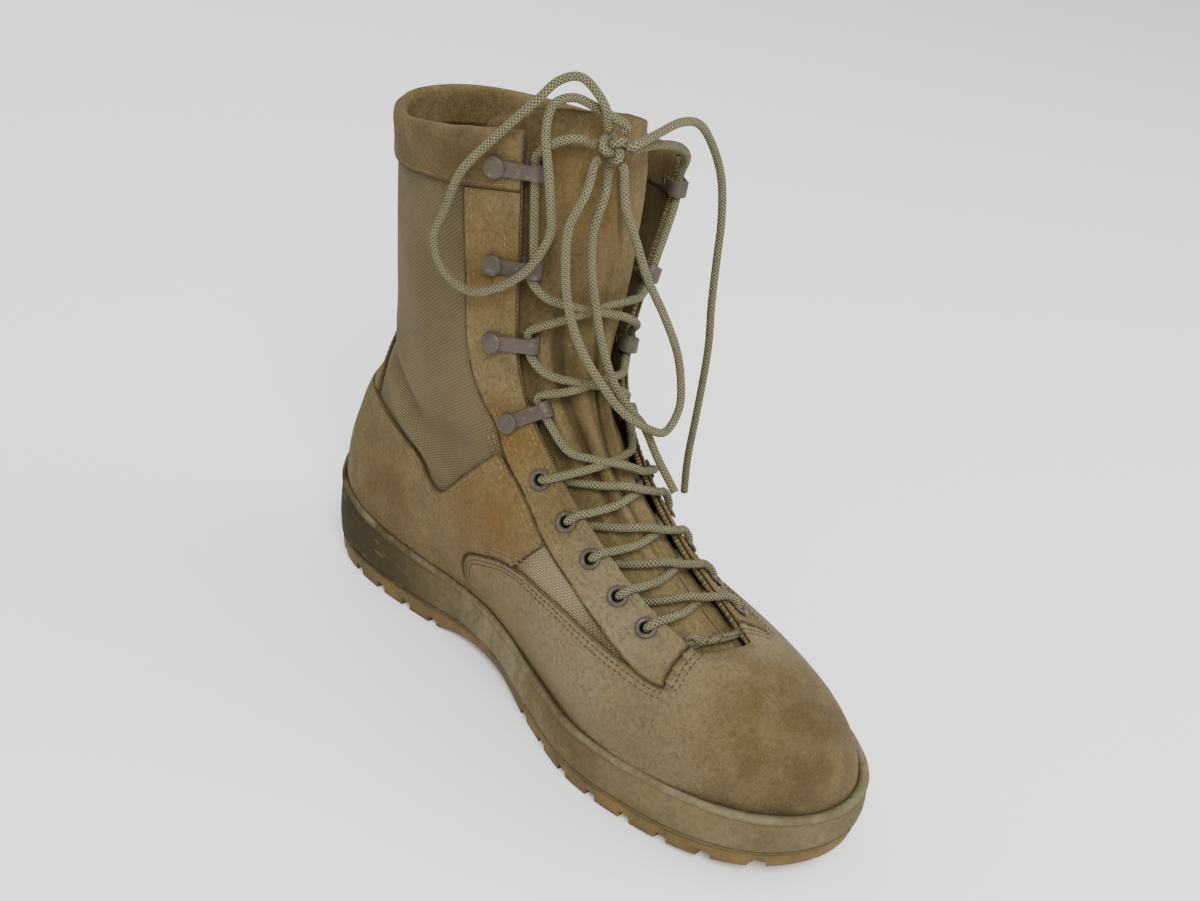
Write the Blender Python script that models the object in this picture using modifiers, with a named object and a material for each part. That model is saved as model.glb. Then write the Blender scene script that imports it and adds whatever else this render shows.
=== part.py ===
"""Left combat boot, standing empty on its sole: toe towards -Y, medial side at -X.

The upper, the tongue, the sole and every overlay are read from one function, surface(),
which turns the LEVELS table into the shape of the last.
"""
import math

import bmesh
import bpy
import numpy as np
from mathutils import Matrix, Vector

# Driving sizes of the boot, in metres
LENGTH = 0.315              # outsole, toe to heel
BALL_WIDTH = 0.122          # outsole across the ball of the foot
SIDEWALL_HEIGHT = 0.034     # top of the rubber sidewall at the toe
INSTEP_HEIGHT = 0.106       # foot of the shaft over the floor
COLLAR_HEIGHT = 0.246       # mean top edge of the shaft over the floor
TOE_SWING = 0.0045          # the toe's lean to the lateral side

# Shares of COLLAR_HEIGHT at which the tables of heights reach the sidewall and the instep
SIDEWALL_SHARE = 0.1382
INSTEP_SHARE = 0.4309

# Thicknesses and clearances
WALL = 0.0020               # nylon and leather base of the upper
OVERLAY = 0.0013            # leather laid on the base
GAP = 0.0003                # clearance between pieces that meet
TONGUE_THICKNESS = 0.0020
INSOLE_THICKNESS = 0.0040
LUG_DEPTH = 0.0045
GROOVE_WIDTH = 0.0055
GROOVE_PITCH = 0.0180

# Metal fittings and lace
EYELET_FLANGE = 0.0050      # radius
EYELET_BORE = 0.0022        # radius
EYELET_METAL = 0.0006
EYELET_SEAT = 0.0008        # clearance of the flange, because the flap curves under it
HOOK_WIDTH = 0.0062
HOOK_METAL = 0.0009
HOOK_REACH = 0.0115         # outer leaf, back from the edge of the flap
HOOK_LEAF = 0.0042          # inner leaf, back from the edge of the flap
RIVET_RADIUS = 0.0044
HOOK_SLOT = 0.0012          # clearance of the strap round the edge of the flap
HOOK_BORE = 0.0024          # radius of the loop that the lace runs through
HOOK_TOP = OVERLAY + 2 * GAP + EYELET_SEAT + HOOK_METAL
HOOK_BOTTOM = -(WALL + 3 * GAP + EYELET_SEAT + HOOK_METAL)
LACE_DIAMETER = 0.0040
KNOT_RADIUS = 0.0065

# Mesh steps
BACK_COLUMNS = 12           # columns from the throat edge to the heel, each side
FRONT_COLUMNS = 3           # columns from the ridge to the throat edge, each side

# The last, a row for each level: heights as shares (foot: sidewall to instep, shaft:
# instep to collar), front and back as shares of LENGTH, the rest as shares of BALL_WIDTH.
# ridge is how far the front line leans to the medial side; m and l are half widths of
# the medial and lateral side at STATIONS, from the front to the back.
STATIONS = np.array([0.0, 0.3, 0.45, 0.6, 0.8, 1.0])
LEVELS = np.array([
    # foot, shaft, front, back, ridge, m0, m1, m2, m3, m4, m5, l0, l1, l2, l3, l4, l5
    (-.25, .00, .022, .984, .00, .54, .415, .290, .220, .315, .53, .52, .500, .465, .395, .400, .57),
    (0.00, .00, .020, .986, .00, .55, .420, .295, .225, .320, .53, .53, .505, .470, .395, .400, .57),
    (0.22, .00, .029, .990, .05, .54, .440, .325, .275, .355, .49, .50, .460, .415, .380, .395, .49),
    (0.45, .00, .076, .984, .10, .47, .415, .335, .305, .350, .44, .42, .370, .365, .355, .365, .44),
    (0.62, .00, .152, .972, .13, .40, .385, .325, .305, .330, .39, .33, .310, .330, .335, .340, .39),
    (0.80, .00, .242, .955, .13, .33, .355, .320, .305, .315, .35, .28, .285, .310, .315, .320, .35),
    (1.00, .00, .320, .926, .12, .27, .340, .320, .310, .310, .33, .25, .280, .310, .315, .310, .33),
    (1.00, .14, .395, .896, .11, .25, .330, .325, .315, .310, .33, .24, .290, .315, .320, .310, .33),
    (1.00, .32, .452, .884, .08, .30, .335, .330, .325, .320, .34, .26, .310, .330, .330, .315, .34),
    (1.00, .54, .475, .886, .03, .37, .355, .345, .335, .330, .35, .36, .350, .345, .335, .320, .35),
    (1.00, .78, .484, .890, .00, .40, .370, .350, .340, .335, .35, .55, .395, .360, .335, .325, .35),
    (1.00, 1.05, .492, .893, .00, .40, .370, .350, .340, .335, .35, .66, .415, .365, .335, .325, .35),
])

# The sole, a row for each place along it (share of LENGTH from the toe): half widths as
# shares of BALL_WIDTH, heights as shares of SIDEWALL_HEIGHT.
SOLE = np.array([
    # along, medial, lateral, lip, floor, parting, bottom
    (0.000, .633, .631, 1.00, .620, .47, .26),
    (0.033, .617, .595, 0.99, .570, .42, .21),
    (0.100, .568, .559, 0.97, .485, .35, .12),
    (0.200, .503, .550, 0.93, .430, .27, .03),
    (0.330, .446, .550, 0.88, .400, .25, .00),
    (0.450, .341, .514, 0.88, .410, .26, .00),
    (0.550, .272, .455, 0.94, .500, .33, .17),
    (0.650, .264, .415, 0.98, .600, .32, .12),
    (0.700, .290, .418, 1.00, .635, .29, .00),
    (0.800, .365, .442, 1.07, .680, .28, .00),
    (0.900, .463, .523, 1.21, .710, .28, .00),
    (0.967, .544, .604, 1.37, .720, .30, .02),
    (1.000, .568, .631, 1.47, .735, .32, .06),
])
SOLE_LINES = ("lip", "floor", "parting", "bottom")

# Stretches of the sole with grooves across them, as shares of LENGTH from the toe
GROOVED = ((0.055, 0.50), (0.70, 0.965))

# Sidewall profile: share of the height from parting to lip, and inset
SIDEWALL = (
    (0.00, 0.0022),
    (0.10, 0.0006),
    (0.45, 0.0000),
    (0.80, 0.0012),
    (0.84, 0.0004),
    (0.95, 0.0004),
    (1.00, 0.0014),
)

# Top edge of the shaft, its height over COLLAR_HEIGHT at each angle
COLLAR = np.array([
    # degrees, rise
    (-180, -.0090),
    (-125, -.0080),
    (-90, 0.0000),
    (-50, 0.0090),
    (0, 0.0040),
    (40, -.0080),
    (90, -.0080),
    (125, -.0085),
    (180, -.0090),
])

# Rings of the upper, shares of its height from floor to collar; the throat starts at one
THROAT_RING = 5
COLLAR_SEAM = 0.913         # lower edge of the collar band
RINGS = (0.0, 0.06, 0.12, 0.17, 0.22, 0.272, 0.33, 0.39, 0.46, 0.55, 0.66, 0.78, COLLAR_SEAM, 1.0)

# Edges of the throat, degrees from the ridge at each share of the upper's height
THROAT = np.array([
    # share, medial, lateral
    (0.000, 17, 17),
    (0.272, 17, 17),
    (0.302, 23, 23),
    (0.336, 28, 28),
    (0.379, 33, 32),
    (0.430, 38, 36),
    (0.485, 42, 39),
    (0.549, 46, 41),
    (0.634, 49, 42),
    (0.761, 49.5, 41),
    (1.000, 50, 39),
])

# Heights of the fittings as shares of the upper's height, from the top down
HOOKS = (0.950, 0.788, 0.657, 0.538)
EYELETS = (0.444, 0.393, 0.354, 0.319, 0.292)
EYELET_SETBACK = 0.0100     # from the edge of the throat

# Outlines of the overlays seen from the side, as shares of LENGTH from the middle and of
# the heights that level() gives: neighbours share their edge
VAMP_EDGE = ((.124, .175), (.108, .232), (.076, .276), (-.034, .340), (-.105, .340),
             (-.187, .322), (-.257, .305), (-.295, .300), (-.292, .322), (-.284, .400))
EYESTAY_BACK = ((.139, .940), (.127, .810), (.111, .675), (.086, .606), (.047, .550),
                (-.002, .484), (-.073, .407), (-.150, .359), (-.225, .322))
QUARTER_TOP = ((.033, .516), (.140, .370), (.165, .345), (.190, .346), (.241, .378),
               (.330, .395), (.600, .400))
BACKSTAY = ((.105, 1.10), (.105, .640), (.120, .520), (.200, .401))

# Bow of the lace, in metres: the knot lies on the tongue, and the routes start and end
# at its ball. Their points are chosen by hand along the cord.
KNOT = Vector((-0.014, -0.006, 0.256))
LOOP_LEFT = (
    (-.020, -.004, .273), (-.025, .003, .281), (-.031, .009, .279), (-.038, .013, .271),
    (-.047, .023, .256), (-.053, .034, .240), (-.052, .043, .222), (-.053, .048, .208),
    (-.052, .042, .196), (-.049, .029, .192), (-.045, .015, .199), (-.040, .006, .209),
    (-.036, .001, .223), (-.036, .002, .235), (-.036, .005, .248), (-.036, .008, .260),
    (-.033, .009, .270), (-.026, .006, .273), (-.019, .001, .270),
)
LOOP_FRONT = (
    (-.028, -.008, .242), (-.033, -.006, .229), (-.034, -.007, .214), (-.033, -.010, .197),
    (-.029, -.015, .181), (-.022, -.022, .166), (-.014, -.028, .154), (-.002, -.033, .145),
    (.007, -.033, .142), (.015, -.031, .149), (.016, -.029, .160), (.013, -.027, .174),
    (.006, -.024, .190), (-.002, -.020, .206), (-.008, -.017, .222), (-.013, -.014, .236),
)
END_FRONT = (
    (-.019, -.009, .240), (-.022, -.008, .226), (-.022, -.009, .211), (-.020, -.012, .194),
    (-.017, -.015, .178), (-.013, -.020, .163), (-.007, -.025, .152), (.000, -.027, .143),
    (.004, -.033, .130), (.005, -.044, .119),
)
END_SIDE = (
    (.000, -.014, .262), (.013, -.013, .264), (.027, -.010, .260), (.040, -.007, .248),
    (.049, -.006, .233), (.053, -.006, .215), (.054, -.006, .196), (.054, -.007, .176),
    (.055, -.008, .158), (.055, -.008, .140), (.054, -.008, .120), (.053, -.008, .101),
    (.053, -.009, .084),
)


def hermite(xs, ys, x):
    """Value at x of the smooth curve through the rows of a table."""
    spread = (-1,) + (1,) * (ys.ndim - 1)
    steps = np.diff(xs)
    rates = np.diff(ys, axis=0) / steps.reshape(spread)
    slopes = np.empty_like(ys)
    before = steps[:-1].reshape(spread)
    after = steps[1:].reshape(spread)
    slopes[1:-1] = (after * rates[:-1] + before * rates[1:]) / (before + after)
    slopes[0] = rates[0]
    slopes[-1] = rates[-1]
    k = int(np.clip(np.searchsorted(xs, x) - 1, 0, len(xs) - 2))
    t = (x - xs[k]) / steps[k]
    return ((2 * t**3 - 3 * t**2 + 1) * ys[k] + (t**3 - 2 * t**2 + t) * steps[k] * slopes[k]
            + (3 * t**2 - 2 * t**3) * ys[k + 1] + (t**3 - t**2) * steps[k] * slopes[k + 1])


LEVEL_HEIGHTS = (SIDEWALL_HEIGHT + LEVELS[:, 0] * (INSTEP_HEIGHT - SIDEWALL_HEIGHT)
                 + LEVELS[:, 1] * (COLLAR_HEIGHT - INSTEP_HEIGHT))


def level(share):
    """Height of a share of the tables' height; the three named heights stretch its parts."""
    shares = (0.0, SIDEWALL_SHARE, INSTEP_SHARE, 1.0)
    heights = (0.0, SIDEWALL_HEIGHT, INSTEP_HEIGHT, COLLAR_HEIGHT)
    k = int(np.clip(np.searchsorted(shares, share) - 1, 0, 2))
    rate = (heights[k + 1] - heights[k]) / (shares[k + 1] - shares[k])
    return heights[k] + rate * (share - shares[k])


def sole_row(along):
    """Half widths at a place along the sole, then the heights of its lines."""
    row = hermite(SOLE[:, 0], SOLE[:, 1:], along)
    return row[:2], dict(zip(SOLE_LINES, np.maximum(row[2:], 0.0)))


def sole_height(along, line):
    """Height of one of the sole's lines over the floor."""
    return SIDEWALL_HEIGHT * sole_row(along)[1][line]


def swing(y):
    """Sideways lean of the toe at y."""
    ahead = min(max((-0.127 * LENGTH - y) / (0.35 * LENGTH), 0.0), 1.0)
    return TOE_SWING * ahead**1.6


def surface(theta, z, flared=True):
    """Outer face of the upper: theta is 0 at the front and turns to pi or -pi behind."""
    row = hermite(LEVEL_HEIGHTS, LEVELS[:, 2:], z)
    share = (1 - math.cos(theta)) / 2
    y = LENGTH * (row[0] + share * (row[1] - row[0]) - 0.5)
    widths = row[3:9] if theta < 0 else row[9:15]
    if not flared:
        widths = np.minimum(row[3:9], widths)
    half = BALL_WIDTH * float(hermite(STATIONS, widths, share))
    lean = BALL_WIDTH * row[2] * (1 - share)**2
    return Vector((math.sin(theta) * half + swing(y) - lean, y, z))


def height(theta, share):
    """Height of a point of the upper, from its lower edge (0) to its collar (1)."""
    along = 0.02 + 0.968 * (1 - math.cos(theta)) / 2
    low = SIDEWALL_SHARE * (sole_height(along, "floor") + GAP) / SIDEWALL_HEIGHT
    top = 1 + float(hermite(COLLAR[:, 0], COLLAR[:, 1], math.degrees(theta))) / COLLAR_HEIGHT
    return level(low + share * (top - low))


def skin(theta, share, offset=0.0, flared=True):
    """Point of the upper's face moved outwards by offset."""
    z = height(theta, share)
    point = surface(theta, z, flared)
    if offset == 0.0:
        return point
    return point + offset * normal(theta, share, flared)


def normal(theta, share, flared=True):
    """Outward direction of the upper's face."""
    step = 0.01
    z = height(theta, share)
    around = surface(theta + step, z, flared) - surface(theta - step, z, flared)
    upward = (surface(theta, height(theta, share + step), flared)
              - surface(theta, height(theta, share - step), flared))
    return around.cross(upward).normalized()


def throat_edge(share, side):
    """Angle of the throat's edge, side -1 medial or 1 lateral."""
    row = hermite(THROAT[:, 0], THROAT[:, 1:], share)
    return side * math.radians(row[0] if side < 0 else row[1])


def columns(share):
    """Angles of the columns of a ring, from the back by the medial side to the back."""
    angles = []
    for side in (-1, 1):
        edge = throat_edge(share, side)
        back = [edge + (side * math.pi - edge) * k / BACK_COLUMNS
                for k in range(BACK_COLUMNS, 0, -1)]
        front = [edge * k / FRONT_COLUMNS for k in range(FRONT_COLUMNS, 0, -1)]
        half = back + front
        angles += half if side < 0 else [0.0] + half[::-1]
    return angles


COLUMN_COUNT = 2 * (BACK_COLUMNS + FRONT_COLUMNS)


def collection(name):
    """New collection in the scene."""
    group = bpy.data.collections.new(name)
    bpy.context.scene.collection.children.link(group)
    return group


def material(name, colour, roughness, metallic=0.0):
    """Plain Principled material."""
    result = bpy.data.materials.new(name)
    result.use_nodes = True
    shader = result.node_tree.nodes["Principled BSDF"]
    shader.inputs["Base Color"].default_value = (*colour, 1.0)
    shader.inputs["Roughness"].default_value = roughness
    shader.inputs["Metallic"].default_value = metallic
    result.diffuse_color = (*colour, 1.0)
    return result


def mesh_object(name, points, faces, group, finish=None):
    """Object from points and faces, with its faces turned one way."""
    mesh = bpy.data.meshes.new(name)
    mesh.from_pydata([tuple(p) for p in points], [], faces)
    mesh.update()
    result = bpy.data.objects.new(name, mesh)
    group.objects.link(result)
    if finish is not None:
        mesh.materials.append(finish)
    return result


def closed_rings(name, rings, group, finish=None):
    """Solid through rings of equal count, each from the back round to the back again.

    A ring's points lie in pairs across the boot, so the two ends close with strips.
    """
    count = len(rings[0])
    points = [p for ring in rings for p in ring]
    faces = []
    for level in range(len(rings) - 1):
        for k in range(count):
            a = level * count + k
            b = level * count + (k + 1) % count
            faces += [(a, b, b + count), (a, b + count, a + count)]
    for level, turned in ((0, True), (len(rings) - 1, False)):
        base = level * count
        for k in range(count // 2):
            strip = [base + k, base + k + 1, base + count - k - 1, base + (count - k) % count]
            corners = list(dict.fromkeys(strip))
            faces.append(tuple(corners[::-1] if turned else corners))
    return mesh_object(name, points, faces, group, finish)


def solidify(target, thickness, offset):
    """Give an open surface its thickness; offset 1 is outwards and -1 inwards."""
    shell = target.modifiers.new("wall", "SOLIDIFY")
    shell.thickness = thickness
    shell.offset = offset
    shell.use_even_offset = False
    return shell


def cut(target, tool, operation):
    """Boolean of target with a tool from the cutters."""
    step = target.modifiers.new(operation.lower(), "BOOLEAN")
    step.operation = operation
    step.solver = "EXACT"
    step.object = tool


def make_tool(target):
    """Mark an object as a cutter."""
    target.hide_render = True
    target.display_type = "WIRE"
    return target


def sole_ring(inset, line):
    """Ring of the sole's outline: inset inwards, line(along) is its height."""
    ring = []
    for k in range(COLUMN_COUNT):
        theta = -math.pi + 2 * math.pi * k / COLUMN_COUNT
        share = (1 - math.cos(theta)) / 2
        widths = sole_row(share)[0]
        half = BALL_WIDTH * widths[0 if theta < 0 else 1] - inset
        y = (share - 0.5) * (LENGTH - 2 * inset)
        ring.append(Vector((math.sin(theta) * half + swing(y), y, line(share))))
    return ring


def build_outsole(parts, tools, finish):
    """Tread plate with its lugs: grooves cut across it and along its middle."""
    def bottom(along):
        return sole_height(along, "bottom")

    def parting(along):
        return sole_height(along, "parting")

    def shoulder(along):
        return bottom(along) + 0.6 * (parting(along) - bottom(along))

    rings = [sole_ring(0.0035, bottom), sole_ring(0.0020, shoulder), sole_ring(0.0020, parting)]
    outsole = closed_rings("outsole", rings, parts, finish)
    across = bmesh.new()
    for first, last in GROOVED:
        count = int((last - first) * LENGTH / GROOVE_PITCH)
        for k in range(count + 1):
            along = first + k * GROOVE_PITCH / LENGTH
            y = (along - 0.5) * LENGTH
            add_box(across, (0.0, y, bottom(along)), (2 * BALL_WIDTH, GROOVE_WIDTH, 2 * LUG_DEPTH))
    cut(outsole, tool_from("grooves_across", across, tools), "DIFFERENCE")
    lengthwise = bmesh.new()
    for first, last in GROOVED:
        middle = (first + last) / 2
        size = (last - first) * LENGTH - GROOVE_PITCH
        add_box(lengthwise, (0.05 * BALL_WIDTH, (middle - 0.5) * LENGTH, 0.0),
                (GROOVE_WIDTH, size, 1.6 * LUG_DEPTH))
    cut(outsole, tool_from("grooves_along", lengthwise, tools), "DIFFERENCE")
    return outsole


def add_box(mesh, centre, size):
    """Add a box to a bmesh."""
    matrix = Matrix.Translation(centre) @ Matrix.Diagonal((*size, 1.0))
    bmesh.ops.create_cube(mesh, size=1.0, matrix=matrix)


def tool_from(name, mesh, tools):
    """Cutter object from a bmesh."""
    data = bpy.data.meshes.new(name)
    mesh.to_mesh(data)
    mesh.free()
    result = bpy.data.objects.new(name, data)
    tools.objects.link(result)
    return make_tool(result)


def build_midsole(parts, tools, finish):
    """Rubber cup: sidewall with its lip, and the recess that takes the upper."""
    rings = []
    for share, inset in SIDEWALL:
        def line(along, share=share):
            low = sole_height(along, "parting") + GAP
            return low + share * (sole_height(along, "lip") - low)
        rings.append(sole_ring(inset, line))
    midsole = closed_rings("midsole", rings, parts, finish)
    reach = OVERLAY + 2 * GAP
    recess = []
    for share in (0.0, 0.06, 0.12, 0.17):
        drop = GAP if share == 0.0 else 0.0
        ring = [skin(theta, share, reach) for theta in columns(share)[:-1]]
        recess.append([p - Vector((0, 0, drop)) for p in ring])
    tool = make_tool(closed_rings("recess", recess, tools))
    cut(midsole, tool, "DIFFERENCE")
    return midsole


def build_insole(parts, finish):
    """Footbed inside the upper."""
    inside = -WALL - 2 * GAP
    rings = []
    for rise in (GAP, INSOLE_THICKNESS):
        ring = [skin(theta, 0.0, inside) + Vector((0, 0, rise)) for theta in columns(0.0)[:-1]]
        rings.append(ring)
    return closed_rings("insole", rings, parts, finish)


def shell_faces(rings, first_ring):
    """Triangles between rings of points, without the throat's.

    Each cell is split along the same diagonal, so shells at other offsets run parallel.
    """
    count = len(rings[0])
    middle = (count - 1) // 2
    faces = []
    for level in range(len(rings) - 1):
        for k in range(count - 1):
            in_throat = middle - FRONT_COLUMNS <= k < middle + FRONT_COLUMNS
            if in_throat and level + first_ring >= THROAT_RING:
                continue
            a = level * (count - 1) + k
            b = level * (count - 1) + (k + 1) % (count - 1)
            above = count - 1
            faces += [(a, b, b + above), (a, b + above, a + above)]
    return faces


def upper_surface(name, shares, offset, group, finish):
    """Open face of the upper with its throat, on some of its rings, at an offset."""
    rings = [[skin(theta, share, offset) for theta in columns(share)] for share in shares]
    points = [p for ring in rings for p in ring[:-1]]
    first_ring = 0 if shares[0] == 0.0 else THROAT_RING
    result = mesh_object(name, points, shell_faces(rings, first_ring), group, finish)
    clean = bmesh.new()
    clean.from_mesh(result.data)
    loose = [v for v in clean.verts if not v.link_faces]
    bmesh.ops.delete(clean, geom=loose, context="VERTS")
    clean.to_mesh(result.data)
    clean.free()
    return result


def fitting_frame(theta, share, offset):
    """Matrix on the upper: X towards the throat, Y along its edge, Z outwards."""
    out = normal(theta, share)
    side = 1 if theta > 0 else -1
    ends = [skin(throat_edge(s, side), s) for s in (share - 0.01, share + 0.01)]
    along = side * (ends[0] - ends[1])
    along = (along - out * along.dot(out)).normalized()
    turn = Matrix((along.cross(out), along, out)).transposed().to_4x4()
    return Matrix.Translation(skin(theta, share, offset)) @ turn


def set_back(share, side, distance):
    """Angle that lies a distance behind the throat's edge."""
    edge = throat_edge(share, side)
    start = skin(edge, share)
    theta = edge
    while (skin(theta, share) - start).length < distance:
        theta += side * 0.002
    return theta


def eyelet_holes(tools):
    """Holes for the barrels of the eyelets."""
    mesh = bmesh.new()
    radius = EYELET_BORE + EYELET_METAL + GAP
    for side in (-1, 1):
        for share in EYELETS:
            frame = fitting_frame(set_back(share, side, EYELET_SETBACK), share, 0.0)
            bmesh.ops.create_cone(mesh, cap_ends=True, segments=10, radius1=radius,
                                  radius2=radius, depth=0.016, matrix=frame)
    return tool_from("eyelet_holes", mesh, tools)


def prism(name, outline, low, high, tools, plane="YZ"):
    """Cutter from an outline seen from the side or from behind, pulled in by half a gap."""
    across = LENGTH if plane == "YZ" else BALL_WIDTH
    flat = [Vector((a * across, level(b))) for a, b in outline]
    area = sum(p.x * q.y - q.x * p.y for p, q in zip(flat, flat[1:] + flat[:1]))
    if area < 0:
        flat.reverse()
    drawn = inset_outline(flat, 0.6 * GAP)
    count = len(drawn)
    if plane == "YZ":
        points = [(x, p.x, p.y) for x in (low, high) for p in drawn]
    else:
        points = [(p.x, y, p.y) for y in (high, low) for p in drawn]
    faces = [tuple(range(count))[::-1], tuple(range(count, 2 * count))]
    for k in range(count):
        after = (k + 1) % count
        faces.append((k, after, after + count, k + count))
    return make_tool(mesh_object(name, points, faces, tools))


def inset_outline(flat, distance):
    """Outline moved inwards by a distance, corner by corner."""
    result = []
    for k, point in enumerate(flat):
        before = (point - flat[k - 1]).normalized()
        after = (flat[(k + 1) % len(flat)] - point).normalized()
        first = Vector((-before.y, before.x))
        second = Vector((-after.y, after.x))
        middle = (first + second).normalized()
        result.append(point + middle * distance / max(middle.dot(first), 0.3))
    return result


def build_overlays(parts, tools, holes, finish):
    """Leather pieces cut from one shell around the upper, and the band at its collar."""
    half_gap = 0.6 * GAP / COLLAR_HEIGHT
    seam = (COLLAR_SEAM + half_gap, RINGS[-1])
    band = upper_surface("collar_band", seam, GAP, parts, finish)
    solidify(band, OVERLAY, 1.0)
    ridge = -0.09 * BALL_WIDTH
    far = 2 * BALL_WIDTH
    vamp = [(.124, -.05)] + list(VAMP_EDGE) + [(-.60, .400), (-.60, -.05)]
    quarter = ([(.600, -.05), (.124, -.05)] + list(VAMP_EDGE[:4])
               + list(EYESTAY_BACK[-3:-5:-1]) + list(QUARTER_TOP))
    eyestay = list(EYESTAY_BACK) + list(VAMP_EDGE[6:]) + [(-.200, 1.20), (.139, 1.20)]
    backstay = [(-a, b) for a, b in BACKSTAY[::-1]] + list(BACKSTAY)
    plans = (
        ("vamp", vamp, -far, far, "YZ"),
        ("quarter", quarter, -far, far, "YZ"),
        ("eyestay_medial", eyestay, -far, ridge, "YZ"),
        ("eyestay_lateral", eyestay, ridge, far, "YZ"),
        ("backstay", backstay, 0.2 * LENGTH, LENGTH, "XZ"),
    )
    below = RINGS[:-2] + (COLLAR_SEAM - half_gap,)
    for name, outline, low, high, plane in plans:
        shell = upper_surface(name, below, GAP, parts, finish)
        solidify(shell, OVERLAY, 1.0)
        cut(shell, prism(name + "_outline", outline, low, high, tools, plane), "INTERSECT")
        if name.startswith("eyestay"):
            cut(shell, holes, "DIFFERENCE")


def build_tongue(parts, finish):
    """Tongue behind the flaps, from under the vamp to above the collar."""
    levels = (0.245, 0.29, 0.34, 0.40, 0.47, 0.56, 0.66, 0.78, 0.90, 1.0, 1.035)
    low = WALL + 2 * GAP + EYELET_SEAT + EYELET_METAL
    high = low + HOOK_METAL + 0.0016
    depths = (low, low, low, low + 0.0008, high, high + 0.0006, high, high, high, high, high)
    reach = (30, 36, 44, 52, 58, 64, 68, 72, 74, 74, 66)
    steps = 10
    points = []
    for share, degrees, depth in zip(levels, reach, depths):
        for k in range(steps + 1):
            theta = math.radians(degrees) * (2 * k / steps - 1)
            points.append(skin(theta, share, -depth, flared=False))
    faces = []
    for level in range(len(levels) - 1):
        for k in range(steps):
            a = level * (steps + 1) + k
            faces += [(a, a + 1, a + steps + 2), (a, a + steps + 2, a + steps + 1)]
    tongue = mesh_object("tongue", points, faces, parts, finish)
    solidify(tongue, TONGUE_THICKNESS, -1.0)
    return tongue


def build_eyelets(parts, finish):
    """Ten eyelets: flange outside, barrel through the leather, roll inside."""
    outside = OVERLAY + GAP + EYELET_SEAT
    inside = -WALL - EYELET_SEAT
    barrel = EYELET_BORE + EYELET_METAL
    profile = (
        (EYELET_BORE, outside + EYELET_METAL),
        (EYELET_FLANGE, outside + EYELET_METAL),
        (EYELET_FLANGE, outside),
        (barrel, outside),
        (barrel, inside),
        (barrel, inside - EYELET_METAL),
        (EYELET_BORE, inside - EYELET_METAL),
    )
    steps = 8
    points = []
    faces = []
    count = len(profile)
    for turn in range(steps):
        angle = 2 * math.pi * turn / steps
        for radius, level in profile:
            points.append((radius * math.cos(angle), radius * math.sin(angle), level))
        for k in range(count):
            a = turn * count + k
            b = turn * count + (k + 1) % count
            c = (turn + 1) % steps * count + (k + 1) % count
            d = (turn + 1) % steps * count + k
            faces.append((a, b, c, d))
    shape = None
    for side, word in ((-1, "medial"), (1, "lateral")):
        for number, share in enumerate(EYELETS, 1):
            name = f"eyelet_{word}_{number}"
            if shape is None:
                eyelet = mesh_object(name, points, faces, parts, finish)
                shape = eyelet.data
            else:
                eyelet = bpy.data.objects.new(name, shape)
                parts.objects.link(eyelet)
            theta = set_back(share, side, EYELET_SETBACK)
            eyelet.matrix_world = fitting_frame(theta, share, 0.0)


def build_hooks(parts, tools, finish):
    """Eight speed hooks: a strap round the flap's edge, its loop, and the rivet's head."""
    outside = HOOK_TOP - HOOK_METAL
    inside = HOOK_BOTTOM + HOOK_METAL
    middle = (HOOK_TOP + HOOK_BOTTOM) / 2
    radius = (HOOK_TOP - HOOK_BOTTOM) / 2
    edge = HOOK_LEAF / 2
    loop = edge + HOOK_SLOT + radius
    end = edge - HOOK_REACH
    arc = [(loop + radius * math.sin(a), middle + radius * math.cos(a))
           for a in (math.pi * k / 5 for k in range(6))]
    outline = ([(end, outside), (end, HOOK_TOP)] + arc
               + [(edge - HOOK_LEAF, HOOK_BOTTOM), (edge - HOOK_LEAF, inside),
                  (edge + HOOK_SLOT, inside), (edge + HOOK_SLOT, outside)])
    bore = [(loop + HOOK_BORE * math.cos(a), middle + HOOK_BORE * math.sin(a))
            for a in (2 * math.pi * k / 8 for k in range(8))]
    strap = bpy.data.curves.new("hook_strap", "CURVE")
    strap.dimensions = "2D"
    strap.fill_mode = "BOTH"
    strap.extrude = HOOK_WIDTH / 2
    for ring in (outline, bore):
        spline = strap.splines.new("POLY")
        spline.points.add(len(ring) - 1)
        for point, place in zip(spline.points, ring):
            point.co = (*place, 0.0, 1.0)
        spline.use_cyclic_u = True
    drawn = bpy.data.objects.new("hook_strap", strap)
    tools.objects.link(drawn)
    shape = solid_mesh(drawn)
    head = bmesh.new()
    rise = HOOK_METAL + 0.0012
    turn = Matrix.Rotation(-math.pi / 2, 4, "X")
    place = Matrix.Translation((end + 0.4 * RIVET_RADIUS, outside + 0.0001 + rise / 2, 0))
    bmesh.ops.create_cone(head, cap_ends=True, segments=10, radius1=RIVET_RADIUS,
                          radius2=0.8 * RIVET_RADIUS, depth=rise, matrix=place @ turn)
    rivet = tool_from("rivet_head", head, tools)
    for side, word in ((-1, "medial"), (1, "lateral")):
        for number, share in enumerate(HOOKS, 1):
            hook = bpy.data.objects.new(f"hook_{word}_{number}", shape)
            parts.objects.link(hook)
            frame = fitting_frame(set_back(share, side, edge), share, 0.0)
            rim = frame.inverted() @ skin(throat_edge(share, side), share)
            slide = Matrix.Translation((rim.x - edge, 0, 0))
            hook.matrix_world = frame @ slide @ Matrix.Rotation(math.pi / 2, 4, "X")
            head_tool = bpy.data.objects.new(f"rivet_{word}_{number}", rivet.data)
            tools.objects.link(make_tool(head_tool))
            head_tool.matrix_world = hook.matrix_world
            cut(hook, head_tool, "UNION")
    shape.materials.append(finish)


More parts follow.
